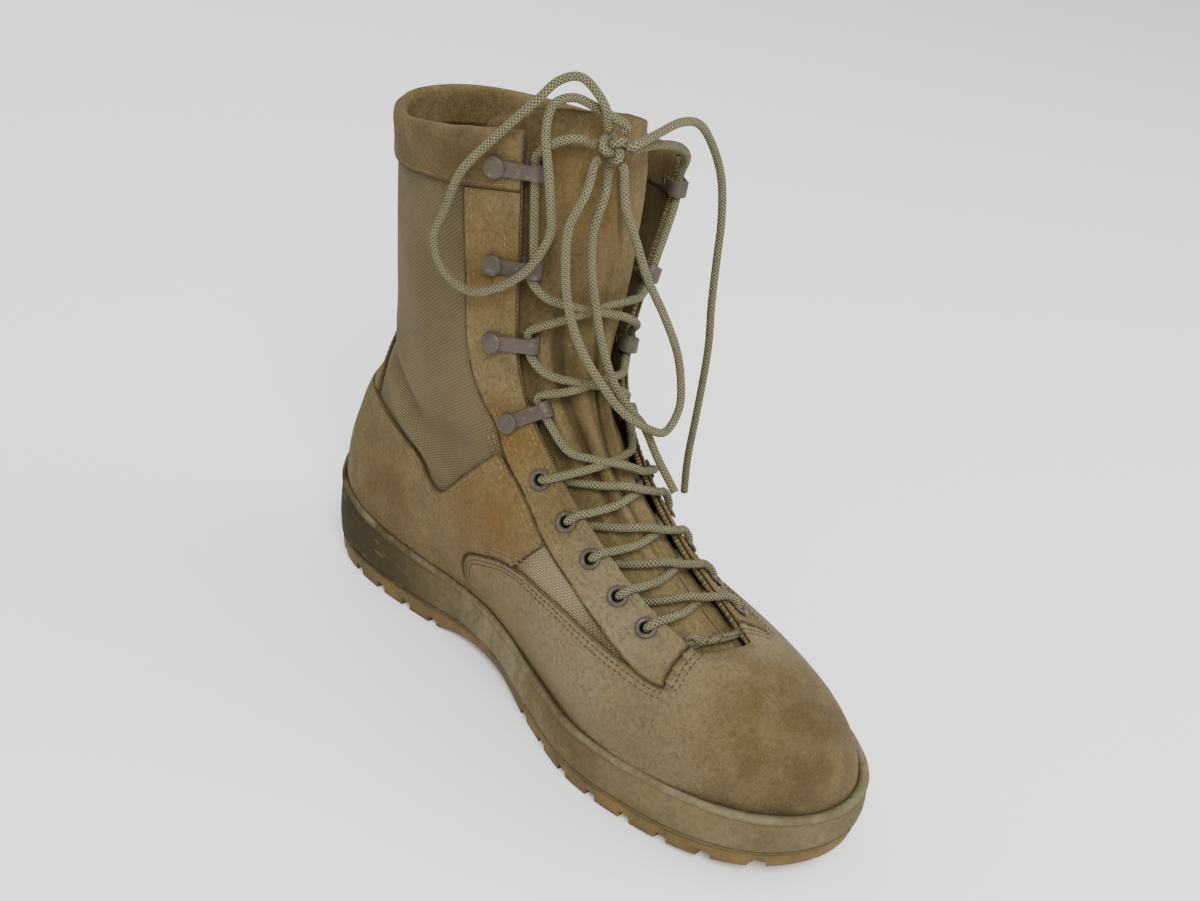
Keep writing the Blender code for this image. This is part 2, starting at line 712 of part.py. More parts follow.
def solid_mesh(drawn):
    """Closed mesh of a curve object, which is then removed."""
    depsgraph = bpy.context.evaluated_depsgraph_get()
    shape = bpy.data.meshes.new_from_object(drawn.evaluated_get(depsgraph))
    clean = bmesh.new()
    clean.from_mesh(shape)
    bmesh.ops.remove_doubles(clean, verts=clean.verts, dist=0.00001)
    clean.to_mesh(shape)
    clean.free()
    curve = drawn.data
    bpy.data.objects.remove(drawn)
    bpy.data.curves.remove(curve)
    return shape


def smooth_path(route, spacing):
    """Evenly spaced points on a route's smooth curve; its first and last legs stay straight."""
    points = [Vector(p) for p in route]
    fine = []
    for a, b, c, d in zip(points, points[1:], points[2:], points[3:]):
        for k in range(12):
            t = k / 12
            fine.append(0.5 * (2 * b + (c - a) * t + (2 * a - 5 * b + 4 * c - d) * t**2
                               + (3 * b - a - 3 * c + d) * t**3))
    fine.append(points[-2])
    steps = [(q - p).length for p, q in zip(fine, fine[1:])]
    count = max(2, round(sum(steps) / spacing))
    result = [points[0], fine[0]]
    walked = 0.0
    for p, q, step in zip(fine, fine[1:], steps):
        goal = (len(result) - 1) * sum(steps) / count
        if len(result) <= count and walked + step >= goal:
            result.append(p.lerp(q, (goal - walked) / step))
        walked += step
    return result + [fine[-1], points[-1]]


def tube(name, route, group, finish):
    """Round cord along a route."""
    curve = bpy.data.curves.new(name, "CURVE")
    curve.dimensions = "3D"
    curve.bevel_depth = LACE_DIAMETER / 2
    curve.bevel_resolution = 2
    curve.use_fill_caps = True
    curve.resolution_u = 1
    curve.render_resolution_u = 0
    path = smooth_path(route, 3 * LACE_DIAMETER)
    spline = curve.splines.new("POLY")
    spline.points.add(len(path) - 1)
    for point, place in zip(spline.points, path):
        point.co = (*place, 1.0)
    result = bpy.data.objects.new(name, curve)
    curve.materials.append(finish)
    group.objects.link(result)
    return result


def knot_side(angle, forward):
    """First two points of a cord at the knot's ball; angle turns from the lateral side up."""
    turn = math.radians(angle)
    right = Vector((0.70, -0.71, 0.0))
    ahead = Vector((-0.71, -0.70, 0.0))
    way = math.cos(turn) * right + Vector((0, 0, math.sin(turn))) + forward * ahead
    return [KNOT + (KNOT_RADIUS + rise) * way.normalized() for rise in (GAP, 0.003)]


def lace_spot(side, number):
    """Where the lace turns at a fitting, counted from the top hook: angle, share, offset."""
    if number < len(HOOKS):
        share = HOOKS[number]
        clear = HOOK_SLOT + HOOK_TOP - HOOK_BOTTOM + 0.75 * LACE_DIAMETER
        edge = throat_edge(share, side)
        theta = edge
        while (skin(theta, share) - skin(edge, share)).length < clear:
            theta -= side * 0.002
        return theta, share, 0.0012
    share = EYELETS[number - len(HOOKS)]
    over = OVERLAY + GAP + EYELET_SEAT + EYELET_METAL + 0.95 * LACE_DIAMETER
    return set_back(share, side, EYELET_SETBACK), share, over


def crossing_route(side):
    """Route of one half of the lace, from the knot down the fittings."""
    route = knot_side(180, -.2) if side < 0 else knot_side(-5, -.5)
    theta, share, offset = lace_spot(side, 0)
    first = skin(theta, share + 0.035, offset + 0.002)
    route += [route[-1].lerp(first, 0.5) + Vector((0, -0.003, 0.001)), first]
    last = len(HOOKS) + len(EYELETS) - 1
    for number in range(last):
        here = lace_spot(side, number)
        side = side if number == 0 else -side
        there = lace_spot(side, number + 1)
        for k in range(4):
            t = k / 4
            theta, share, offset = (a + (b - a) * t for a, b in zip(here, there))
            dip = 0.0 if number == 0 else 0.0022 * (1 - abs(2 * t - 1))
            route.append(skin(theta, share, max(offset - dip, 0.0012)))
    route.append(skin(*lace_spot(side, last)))
    return route


def build_laces(parts, tools, finish):
    """Crossings as one solid, then the knot, the bow's two loops and the two ends."""
    medial = crossing_route(-1)
    lateral = crossing_route(1)
    last = len(HOOKS) + len(EYELETS) - 1
    ends = [lace_spot(side, last) for side in (1, -1)]
    for k in (1, 2, 3):
        theta, share, offset = (a + (b - a) * k / 4 for a, b in zip(*ends))
        medial.append(skin(theta, share - 0.004, max(offset - 0.0025, 0.0012)))
    medial.append(skin(*ends[1]))
    strands = []
    for name, route in (("lace_crossings", medial), ("lace_half", lateral)):
        drawn = tube(name + "_route", route, tools, finish)
        shape = solid_mesh(drawn)
        group = parts if name == "lace_crossings" else tools
        strand = bpy.data.objects.new(name, shape)
        group.objects.link(strand)
        strands.append(strand)
    cut(strands[0], make_tool(strands[1]), "UNION")
    ball = bmesh.new()
    bmesh.ops.create_uvsphere(ball, u_segments=10, v_segments=6, radius=KNOT_RADIUS,
                              matrix=Matrix.Translation(KNOT))
    data = bpy.data.meshes.new("lace_knot")
    ball.to_mesh(data)
    ball.free()
    data.materials.append(finish)
    parts.objects.link(bpy.data.objects.new("lace_knot", data))
    bow = (
        ("lace_loop_left", knot_side(112, 0), LOOP_LEFT, knot_side(70, 0)),
        ("lace_loop_front", knot_side(222, .3), LOOP_FRONT, knot_side(300, .3)),
        ("lace_end_front", knot_side(262, -.3), END_FRONT, []),
        ("lace_end_side", knot_side(25, .6), END_SIDE, []),
    )
    for name, start, route, end in bow:
        tube(name, [*start, *route, *end[::-1]], parts, finish)


def centre(parts, tools):
    """Move the boot so that its box without the bow's cords is centred over the origin."""
    bpy.context.view_layer.update()
    depsgraph = bpy.context.evaluated_depsgraph_get()
    corners = []
    for piece in parts.objects:
        if piece.name.startswith("lace_") and piece.name != "lace_crossings":
            continue
        evaluated = piece.evaluated_get(depsgraph)
        corners += [piece.matrix_world @ Vector(c) for c in evaluated.bound_box]
    shift = [-(min(c[k] for c in corners) + max(c[k] for c in corners)) / 2 for k in (0, 1)]
    for piece in (*parts.objects, *tools.objects):
        piece.location.x += shift[0]
        piece.location.y += shift[1]


def main():
    for old in list(bpy.data.objects):
        bpy.data.objects.remove(old)
    parts = collection("combat_boot")
    tools = collection("cutters")
    finishes = {
        "suede": material("suede", (0.33, 0.21, 0.11), 0.9),
        "nylon": material("nylon", (0.42, 0.33, 0.20), 0.8),
        "sidewall": material("sidewall", (0.17, 0.13, 0.07), 0.7),
        "tread": material("tread", (0.25, 0.14, 0.06), 0.75),
        "metal": material("painted_metal", (0.30, 0.22, 0.18), 0.4, 0.3),
        "lace": material("lace", (0.36, 0.33, 0.21), 0.85),
        "lining": material("lining", (0.35, 0.29, 0.20), 0.9),
    }
    build_outsole(parts, tools, finishes["tread"])
    build_midsole(parts, tools, finishes["sidewall"])
    build_insole(parts, finishes["lining"])
    holes = eyelet_holes(tools)
    upper = upper_surface("upper", RINGS, 0.0, parts, finishes["nylon"])
    solidify(upper, WALL, -1.0)
    cut(upper, holes, "DIFFERENCE")
    build_tongue(parts, finishes["suede"])
    build_overlays(parts, tools, holes, finishes["suede"])
    build_eyelets(parts, finishes["metal"])
    build_hooks(parts, tools, finishes["metal"])
    build_laces(parts, tools, finishes["lace"])
    centre(parts, tools)


main()
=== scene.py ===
"""Looks of the left combat boot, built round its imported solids: toe towards -Y, medial at -X.

The tables and surface functions repeat those of the boot's solids, in metres, and every
soft piece is read from them. shape() gives the face that everything above the sole lies on.
"""
import math

import bmesh
import bpy
import numpy as np
from mathutils import Matrix, Vector


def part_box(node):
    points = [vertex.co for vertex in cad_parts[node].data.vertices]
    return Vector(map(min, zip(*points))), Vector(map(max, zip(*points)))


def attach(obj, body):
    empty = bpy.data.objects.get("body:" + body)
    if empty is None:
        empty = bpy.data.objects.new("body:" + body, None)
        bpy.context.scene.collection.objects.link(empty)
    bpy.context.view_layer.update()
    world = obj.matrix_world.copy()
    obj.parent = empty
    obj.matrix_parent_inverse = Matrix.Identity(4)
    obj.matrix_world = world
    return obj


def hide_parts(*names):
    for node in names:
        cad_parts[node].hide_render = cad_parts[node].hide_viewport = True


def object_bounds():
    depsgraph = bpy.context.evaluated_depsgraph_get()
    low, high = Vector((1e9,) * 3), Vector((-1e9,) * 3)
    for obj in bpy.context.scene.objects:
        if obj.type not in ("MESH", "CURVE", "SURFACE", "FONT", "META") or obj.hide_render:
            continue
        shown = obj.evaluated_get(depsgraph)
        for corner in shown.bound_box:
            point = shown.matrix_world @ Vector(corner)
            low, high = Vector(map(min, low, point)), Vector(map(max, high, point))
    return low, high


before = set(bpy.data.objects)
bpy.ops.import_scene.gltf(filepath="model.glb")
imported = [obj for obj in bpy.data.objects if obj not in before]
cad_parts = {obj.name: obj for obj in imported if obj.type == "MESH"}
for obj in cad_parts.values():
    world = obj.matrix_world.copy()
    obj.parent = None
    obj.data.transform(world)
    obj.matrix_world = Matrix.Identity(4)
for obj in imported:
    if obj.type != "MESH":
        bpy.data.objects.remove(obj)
cad_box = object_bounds()

# Driving sizes, as in the boot's solids
LENGTH = 0.315
BALL_WIDTH = 0.122
SIDEWALL_HEIGHT = 0.034
INSTEP_HEIGHT = 0.106
COLLAR_HEIGHT = 0.246
TOE_SWING = 0.0045
WALL = 0.0020
OVERLAY = 0.0013
GAP = 0.0003
TONGUE_THICKNESS = 0.0020
INSOLE_THICKNESS = 0.0040
LUG_DEPTH = 0.0045
GROOVE_WIDTH = 0.0055
GROOVE_PITCH = 0.0180
EYELET_BORE = 0.0022
EYELET_METAL = 0.0006
EYELET_SEAT = 0.0008
HOOK_WIDTH = 0.0062
HOOK_METAL = 0.0009
HOOK_REACH = 0.0115
HOOK_LEAF = 0.0042
RIVET_RADIUS = 0.0044
HOOK_SLOT = 0.0012
HOOK_BORE = 0.0024
HOOK_TOP = OVERLAY + 2 * GAP + EYELET_SEAT + HOOK_METAL
HOOK_BOTTOM = -(WALL + 3 * GAP + EYELET_SEAT + HOOK_METAL)
HOOK_OUTSIDE = HOOK_TOP - HOOK_METAL
HOOK_INSIDE = HOOK_BOTTOM + HOOK_METAL
HOOK_MIDDLE = (HOOK_TOP + HOOK_BOTTOM) / 2
HOOK_RADIUS = (HOOK_TOP - HOOK_BOTTOM) / 2
HOOK_EDGE = HOOK_LEAF / 2                       # from a hook's origin to the flap's edge
HOOK_END = HOOK_EDGE - HOOK_REACH
HOOK_LOOP = HOOK_EDGE + HOOK_SLOT + HOOK_RADIUS
LACE_DIAMETER = 0.0035      # thinner than in the solids, as the picture shows it
KNOT_RADIUS = 0.0065
KNOT = Vector((-0.014, -0.006, 0.256))
KNOT_RIGHT = Vector((0.70, -0.71, 0.0))
KNOT_AHEAD = Vector((-0.71, -0.70, 0.0))

# The solids were centred after they were drawn: the knot's ball shows by how much
SHIFT = sum(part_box("lace_knot"), Vector()) / 2 - KNOT
KNOT = KNOT + SHIFT

# Fine mesh steps
BACK_COLUMNS = 76           # columns from the throat edge to the heel, each side
FRONT_COLUMNS = 12          # columns from the ridge to the throat edge, each side
SOLE_COLUMNS = 200
LEG = 6                     # steps between two points of an outline

SIDES = ((-1, "medial"), (1, "lateral"))
MILLIMETRES = 1000          # in a metre
RIM_INSET = 0.6 * GAP       # from an overlay's outline to its rim
FLAP_BACK = 0.050           # the flap's inside is suede before this place
FLAP_LOW = 0.070            # and above this height
CLOTH_THREAD = 0.0021
CLOTH_RIB = 0.0018
BRAID_PITCH = 0.0016
HOLE_DEPTH = 0.016          # of the cutters for the eyelets
RIVET_RISE = HOOK_METAL + 0.0012

STATIONS = np.array([0.0, 0.3, 0.45, 0.6, 0.8, 1.0])
LEVELS = np.array([
    # foot, shaft, front, back, ridge, m0, m1, m2, m3, m4, m5, l0, l1, l2, l3, l4, l5
    (-.25, .00, .022, .984, .00, .54, .415, .290, .220, .315, .53, .52, .500, .465, .395, .400, .57),
    (0.00, .00, .020, .986, .00, .55, .420, .295, .225, .320, .53, .53, .505, .470, .395, .400, .57),
    (0.22, .00, .029, .990, .05, .54, .440, .325, .275, .355, .49, .50, .460, .415, .380, .395, .49),
    (0.45, .00, .076, .984, .10, .47, .415, .335, .305, .350, .44, .42, .370, .365, .355, .365, .44),
    (0.62, .00, .152, .972, .13, .40, .385, .325, .305, .330, .39, .33, .310, .330, .335, .340, .39),
    (0.80, .00, .242, .955, .13, .33, .355, .320, .305, .315, .35, .28, .285, .310, .315, .320, .35),
    (1.00, .00, .320, .926, .12, .27, .340, .320, .310, .310, .33, .25, .280, .310, .315, .310, .33),
    (1.00, .14, .395, .896, .11, .25, .330, .325, .315, .310, .33, .24, .290, .315, .320, .310, .33),
    (1.00, .32, .452, .884, .08, .30, .335, .330, .325, .320, .34, .26, .310, .330, .330, .315, .34),
    (1.00, .54, .475, .886, .03, .37, .355, .345, .335, .330, .35, .36, .350, .345, .335, .320, .35),
    (1.00, .78, .484, .890, .00, .40, .370, .350, .340, .335, .35, .55, .395, .360, .335, .325, .35),
    (1.00, 1.05, .492, .893, .00, .40, .370, .350, .340, .335, .35, .66, .415, .365, .335, .325, .35),
])
SOLE = np.array([
    # along, medial, lateral, lip, floor, parting, bottom
    (0.000, .633, .631, 1.00, .620, .47, .26),
    (0.033, .617, .595, 0.99, .570, .42, .21),
    (0.100, .568, .559, 0.97, .485, .35, .12),
    (0.200, .503, .550, 0.93, .430, .27, .03),
    (0.330, .446, .550, 0.88, .400, .25, .00),
    (0.450, .341, .514, 0.88, .410, .26, .00),
    (0.550, .272, .455, 0.94, .500, .33, .17),
    (0.650, .264, .415, 0.98, .600, .32, .12),
    (0.700, .290, .418, 1.00, .635, .29, .00),
    (0.800, .365, .442, 1.07, .680, .28, .00),
    (0.900, .463, .523, 1.21, .710, .28, .00),
    (0.967, .544, .604, 1.37, .720, .30, .02),
    (1.000, .568, .631, 1.47, .735, .32, .06),
])
LIP, FLOOR, PARTING, BOTTOM = 2, 3, 4, 5
COLLAR = np.array([
    # degrees, rise
    (-180, -.0090),
    (-125, -.0080),
    (-90, 0.0000),
    (-50, 0.0090),
    (0, 0.0040),
    (40, -.0080),
    (90, -.0080),
    (125, -.0085),
    (180, -.0090),
])
COLLAR_SEAM = 0.913
THROAT_START = 0.272
THROAT = np.array([
    # share, medial, lateral
    (0.000, 17, 17),
    (0.272, 17, 17),
    (0.302, 23, 23),
    (0.336, 28, 28),
    (0.379, 33, 32),
    (0.430, 38, 36),
    (0.485, 42, 39),
    (0.549, 46, 41),
    (0.634, 49, 42),
    (0.761, 49.5, 41),
    (1.000, 50, 39),
])
HOOKS = (0.950, 0.788, 0.657, 0.538)
EYELETS = (0.444, 0.393, 0.354, 0.319, 0.292)
EYELET_SETBACK = 0.0100

# Outlines of the overlays seen from the side, shares of LENGTH and COLLAR_HEIGHT
VAMP_EDGE = ((.124, .175), (.108, .232), (.076, .276), (-.034, .340), (-.105, .340),
             (-.187, .322), (-.257, .305), (-.295, .300), (-.292, .322), (-.284, .400))
EYESTAY_BACK = ((.139, .940), (.127, .810), (.111, .675), (.086, .606), (.047, .550),
                (-.002, .484), (-.073, .407), (-.150, .359), (-.225, .322))
QUARTER_TOP = ((.033, .516), (.140, .370), (.165, .345), (.190, .346), (.241, .378),
               (.330, .395), (.600, .400))
BACKSTAY = ((.105, 1.10), (.105, .640), (.120, .520), (.200, .401))

# The tongue, from its lowest share of the height; above the high one it runs straight on
TONGUE_LOW = 0.245
TONGUE_HIGH = 1.03
TONGUE = np.array([
    # share, medial reach, lateral reach in degrees, depth in the middle, under the flaps
    (0.245, 30, 30, .0044, .0062),
    (0.290, 40, 46, .0047, .0064),
    (0.340, 48, 54, .0050, .0066),
    (0.400, 54, 56, .0055, .0068),
    (0.470, 58, 50, .0062, .0072),
    (0.560, 64, 36, .0068, .0078),
    (0.660, 68, 27, .0070, .0078),
    (0.780, 72, 34, .0066, .0074),
    (0.900, 74, 52, .0062, .0070),
    (1.000, 74, 74, .0060, .0068),
    (1.080, 70, 74, .0060, .0066),
])
TONGUE_TOP = np.array([
    # place across, share
    (-1.0, 1.020), (-0.7, 1.040), (-0.3, 1.052), (0.0, 1.062), (0.3, 1.070),
    (0.6, 1.070), (0.85, 1.058), (1.0, 1.030),
])
TONGUE_FOLDS = (
    # lower end across and share, upper end across and share, rise, reach across
    (-0.55, 0.42, -0.62, 0.70, 0.0022, 0.085),
    (-0.32, 0.36, -0.48, 0.74, -.0020, 0.070),
    (-0.15, 0.33, -0.22, 0.72, 0.0024, 0.090),
    (0.12, 0.35, -0.02, 0.80, -.0018, 0.070),
    (0.45, 0.36, 0.30, 0.72, 0.0024, 0.110),
    (0.70, 0.40, 0.62, 0.66, -.0016, 0.080),
    (-0.40, 0.78, -0.30, 1.05, 0.0012, 0.090),
    (0.05, 0.80, 0.02, 1.05, -.0012, 0.060),
    (0.35, 0.78, 0.42, 1.05, 0.0014, 0.100),
    (-0.75, 0.55, -0.80, 1.02, -.0010, 0.060),
)

# Profiles from the bottom up, the collar's then down inside
MIDSOLE_PROFILE = np.array([
    # share of the height, inset
    (0.000, .0026), (0.020, .0014), (0.050, .0008), (0.085, .0006), (0.100, .0013),
    (0.115, .0007), (0.180, .0003), (0.300, .0000), (0.450, .0000), (0.600, .0002),
    (0.720, .0005), (0.790, .0009), (0.820, .0012), (0.840, .0010), (0.860, .0005),
    (0.890, .0002), (0.930, .0003), (0.960, .0006), (0.985, .0012), (1.000, .0020),
])
OUTSOLE_PROFILE = (
    # share of the height, inset
    (0.0, .0035), (0.06, .0027), (0.30, .0022), (0.60, .0018), (0.90, .0020), (1.0, .0026),
)
TREAD_FLATS = ((0.055, 0.50), (0.70, 0.965))    # shares of LENGTH that carry lugs
BAND_START = COLLAR_SEAM + RIM_INSET / COLLAR_HEIGHT
BAND_PROFILE = (
    # share, offset, rise over the collar
    (BAND_START, GAP, 0), (BAND_START, GAP + 0.9 * OVERLAY, 0),
    (BAND_START + .004, GAP + OVERLAY, 0),
    (0.930, 0.0018, 0), (0.950, 0.0019, 0), (0.970, 0.0021, 0), (0.985, 0.0024, 0),
    (0.995, 0.0024, 0), (1.0, 0.0021, .0012), (1.0, 0.0012, .0021), (1.0, 0.0, .0026),
    (1.0, -.0010, .0026), (1.0, -.0022, .0020), (1.0, -.0031, .0010), (0.995, -.0034, 0),
    (0.980, -.0033, 0), (0.960, -.0029, 0), (0.940, -.0026, 0), (0.930, -.0024, 0),
    (0.930, -.0021, 0), (0.960, -.0021, 0), (1.0, -.0021, .0002), (1.0, -.0010, .0004),
    (1.0, 0.0002, .0004), (0.996, GAP, 0), (0.950, GAP, 0),
)

# Camera in the photo's place, before the shift, and its lens in millimetres
CAMERA = Vector((-0.39515, -0.37977, 0.43809))
AIM_HEIGHT = 0.117
LEAN = 7.0                  # degrees
LENS = 45.0

# Routes of the bow's cords before the shift, as in the boot's solids
LOOP_LEFT = (
    (-.020, -.004, .273), (-.025, .003, .281), (-.031, .009, .279), (-.038, .013, .271),
    (-.047, .023, .256), (-.053, .034, .240), (-.052, .043, .222), (-.053, .048, .208),
    (-.052, .042, .196), (-.049, .029, .192), (-.045, .015, .199), (-.040, .006, .209),
    (-.036, .001, .223), (-.036, .002, .235), (-.036, .005, .248), (-.036, .008, .260),
    (-.033, .009, .270), (-.026, .006, .273), (-.019, .001, .270),
)
LOOP_FRONT = (
    (-.028, -.008, .242), (-.033, -.006, .229), (-.034, -.007, .214), (-.033, -.010, .197),
    (-.029, -.015, .181), (-.022, -.022, .166), (-.014, -.028, .154), (-.002, -.033, .145),
    (.007, -.033, .142), (.015, -.031, .149), (.016, -.029, .160), (.013, -.027, .174),
    (.006, -.024, .190), (-.002, -.020, .206), (-.008, -.017, .222), (-.013, -.014, .236),
)
END_FRONT = (
    (-.019, -.009, .240), (-.022, -.008, .226), (-.022, -.009, .211), (-.020, -.012, .194),
    (-.017, -.015, .178), (-.013, -.020, .163), (-.007, -.025, .152), (.000, -.027, .143),
    (.004, -.033, .130), (.005, -.044, .119),
)
END_SIDE = (
    (.000, -.014, .262), (.013, -.013, .264), (.027, -.010, .260), (.040, -.007, .248),
    (.049, -.006, .233), (.053, -.006, .215), (.054, -.006, .196), (.054, -.007, .176),
    (.055, -.008, .158), (.055, -.008, .140), (.054, -.008, .120), (.053, -.008, .101),
    (.053, -.009, .084),
)

# Creases and swells: side, both ends as shares of LENGTH and
# COLLAR_HEIGHT, rise in metres (negative is a dent) and reach to each side in metres
CREASES = (
    (-1, (.365, .515), (.200, .430), -.0036, .0055),
    (-1, (.235, .436), (.075, .500), -.0030, .0058),
    (-1, (.345, .462), (.185, .385), 0.0036, .0065),
    (-1, (.215, .388), (.085, .450), 0.0026, .0065),
    (-1, (.345, .570), (.190, .492), 0.0022, .0080),
    (-1, (.215, .492), (.080, .560), 0.0016, .0080),
    (-1, (.260, .395), (.190, .352), -.0022, .0050),
    (-1, (.085, .595), (.015, .520), -.0014, .0045),
    (-1, (.060, .545), (-.020, .480), 0.0010, .0050),
    (-1, (.095, .700), (.060, .640), -.0008, .0050),
    (-1, (.310, .800), (.200, .640), 0.0014, .0110),
    (-1, (.230, .860), (.160, .700), -.0011, .0090),
    (-1, (.000, .285), (-.160, .255), -.0008, .0080),
    (-1, (-.200, .300), (-.330, .235), -.0011, .0080),
    (-1, (-.240, .330), (-.360, .260), 0.0009, .0080),
    (-1, (.290, .330), (.250, .250), -.0011, .0090),
    (-1, (.420, .330), (.400, .220), 0.0008, .0100),
    (1, (.345, .500), (.150, .420), -.0026, .0055),
    (1, (.320, .445), (.160, .380), 0.0026, .0070),
    (1, (.300, .780), (.180, .640), 0.0014, .0110),
    (1, (-.020, .285), (-.180, .250), -.0008, .0080),
    (1, (-.210, .300), (-.330, .235), -.0011, .0090),
)


def slopes_at(xs, ys):
    """Slopes, at its rows, of the smooth curve through the rows of a table."""
    steps = np.diff(xs).reshape((-1,) + (1,) * (ys.ndim - 1))
    rates = np.diff(ys, axis=0) / steps
    slopes = np.empty_like(ys)
    slopes[0] = rates[0]
    slopes[-1] = rates[-1]
    slopes[1:-1] = (steps[1:] * rates[:-1] + steps[:-1] * rates[1:]) / (steps[:-1] + steps[1:])
    return slopes


def legs_of(xs, x):
    """Numbers of the legs that the places x lie on, and the lengths of these legs."""
    k = np.clip(np.searchsorted(xs, x) - 1, 0, len(xs) - 2)
    return k, np.diff(xs)[k]


def blend(t, step, start, end, leaving, arriving):
    """Cubic from one value to the next, with the slopes of leaving and arriving."""
    return ((2 * t**3 - 3 * t**2 + 1) * start + (t**3 - 2 * t**2 + t) * step * leaving
            + (3 * t**2 - 2 * t**3) * end + (t**3 - t**2) * step * arriving)


def hermite(xs, ys, x):
    """Smooth curve through the rows of a table, at each of the places x."""
    x = np.atleast_1d(np.asarray(x, float))
    k, step = legs_of(xs, x)
    spread = (-1,) + (1,) * (ys.ndim - 1)
    t = ((x - xs[k]) / step).reshape(spread)
    slopes = slopes_at(xs, ys)
    return blend(t, step.reshape(spread), ys[k], ys[k + 1], slopes[k], slopes[k + 1])


def hermite_across(xs, rows, x):
    """The same curve through each row of values, with one place x for each row."""
    k, step = legs_of(xs, x)
    n = np.arange(len(x))
    slopes = slopes_at(xs, rows.T)
    return blend((x - xs[k]) / step, step, rows[n, k], rows[n, k + 1],
                 slopes[k, n], slopes[k + 1, n])


LEVEL_HEIGHTS = (SIDEWALL_HEIGHT + LEVELS[:, 0] * (INSTEP_HEIGHT - SIDEWALL_HEIGHT)
                 + LEVELS[:, 1] * (COLLAR_HEIGHT - INSTEP_HEIGHT))


def sole_rows(along):
    """Rows of the sole table at places along the sole."""
    rows = hermite(SOLE[:, 0], SOLE[:, 1:], along)
    rows[:, BOTTOM] = np.maximum(rows[:, BOTTOM], 0.0)
    return rows


def swing(y):
    """Sideways lean of the toe at y."""
    ahead = np.clip((-0.127 * LENGTH - y) / (0.35 * LENGTH), 0.0, 1.0)
    return TOE_SWING * ahead**1.6


def surface(theta, z, flared=True):
    """Face of the last, before the shift: theta is 0 in front and pi or -pi behind."""
    row = hermite(LEVEL_HEIGHTS, LEVELS[:, 2:], z)
    share = (1 - np.cos(theta)) / 2
    y = LENGTH * (row[:, 0] + share * (row[:, 1] - row[:, 0]) - 0.5)
    medial = row[:, 3:9]
    lateral = row[:, 9:15]
    widths = np.where((theta < 0)[:, None], medial, lateral)
    if not flared:
        widths = np.minimum(medial, widths)
    half = BALL_WIDTH * hermite_across(STATIONS, widths, share)
    lean = BALL_WIDTH * row[:, 2] * (1 - share)**2
    return np.column_stack([np.sin(theta) * half + swing(y) - lean, y, z])


def relief(points, theta):
    """Rise of the creases and of the leather's slow waves at points of the last."""
    y = points[:, 1] / LENGTH
    z = points[:, 2] / COLLAR_HEIGHT
    wave = (np.sin(31 * y + 9 * z) * np.sin(17 * z - 5 * y + 1.0)
            + 0.6 * np.sin(53 * y - 29 * z + 2.0))
    total = 0.00022 * wave * np.clip((z - 0.15) / 0.1, 0, 1)
    for side, (y0, z0), (y1, z1), rise, reach in CREASES:
        run = np.array([(y1 - y0) * LENGTH, (z1 - z0) * COLLAR_HEIGHT])
        away = np.column_stack([(y - y0) * LENGTH, (z - z0) * COLLAR_HEIGHT])
        t = np.clip(away @ run / (run @ run), 0, 1)
        gap = np.hypot(*(away - t[:, None] * run).T)
        ends = np.sin(np.pi * np.clip(t, 0.08, 0.92))
        total += np.where(theta * side > 0, rise * ends * np.exp(-(gap / reach)**2), 0.0)
    return total


def shape(theta, z, offset=0.0, flared=True, creased=True):
    """Points of the upper's face, creases included, moved outwards by offset."""
    theta = np.atleast_1d(np.asarray(theta, float))
    z = np.broadcast_to(np.asarray(z, float), theta.shape).copy()
    face = surface(theta, z, flared)
    around = surface(theta + 0.01, z, flared) - surface(theta - 0.01, z, flared)
    upward = surface(theta, z + 0.001, flared) - surface(theta, z - 0.001, flared)
    out = np.cross(around, upward)
    out /= np.linalg.norm(out, axis=1)[:, None]
    rise = offset + (relief(face, theta) if creased else 0.0)
    return face + out * np.reshape(rise, (-1, 1)) + np.array(SHIFT)


def height(theta, share):
    """Height of points of the upper, from its lower edge (0) to its collar (1)."""
    theta = np.atleast_1d(np.asarray(theta, float))
    along = 0.02 + 0.968 * (1 - np.cos(theta)) / 2
    low = SIDEWALL_HEIGHT * sole_rows(along)[:, FLOOR] + GAP
    rise = hermite(COLLAR[:, 0], COLLAR[:, 1], np.degrees(theta))
    return low + share * (COLLAR_HEIGHT + rise - low)


def skin(theta, share, offset=0.0):
    """One point of the upper's face as a vector."""
    return Vector(shape(theta, height(theta, share), offset)[0])


def throat_edge(share, side):
    """Angle of the throat's edge, side -1 medial or 1 lateral."""
    row = hermite(THROAT[:, 0], THROAT[:, 1:], share)[0]
    return side * math.radians(row[0] if side < 0 else row[1])


def columns(share):
    """Angles of the columns of a ring, from the back by the medial side to the back."""
    medial = throat_edge(share, -1)
    lateral = throat_edge(share, 1)
    return np.concatenate([
        np.linspace(-math.pi, medial, BACK_COLUMNS, endpoint=False),
        np.linspace(medial, 0, FRONT_COLUMNS, endpoint=False),
        np.linspace(0, lateral, FRONT_COLUMNS, endpoint=False),
        np.linspace(lateral, math.pi, BACK_COLUMNS + 1),
    ])


def side_angle(y, z, side):
    """Angle of the face at a place given by y and z on one side, before the shift."""
    row = hermite(LEVEL_HEIGHTS, LEVELS[:, 2:4], z)
    share = (np.asarray(y) / LENGTH + 0.5 - row[:, 0]) / (row[:, 1] - row[:, 0])
    return side * np.arccos(np.clip(1 - 2 * share, -1, 1))


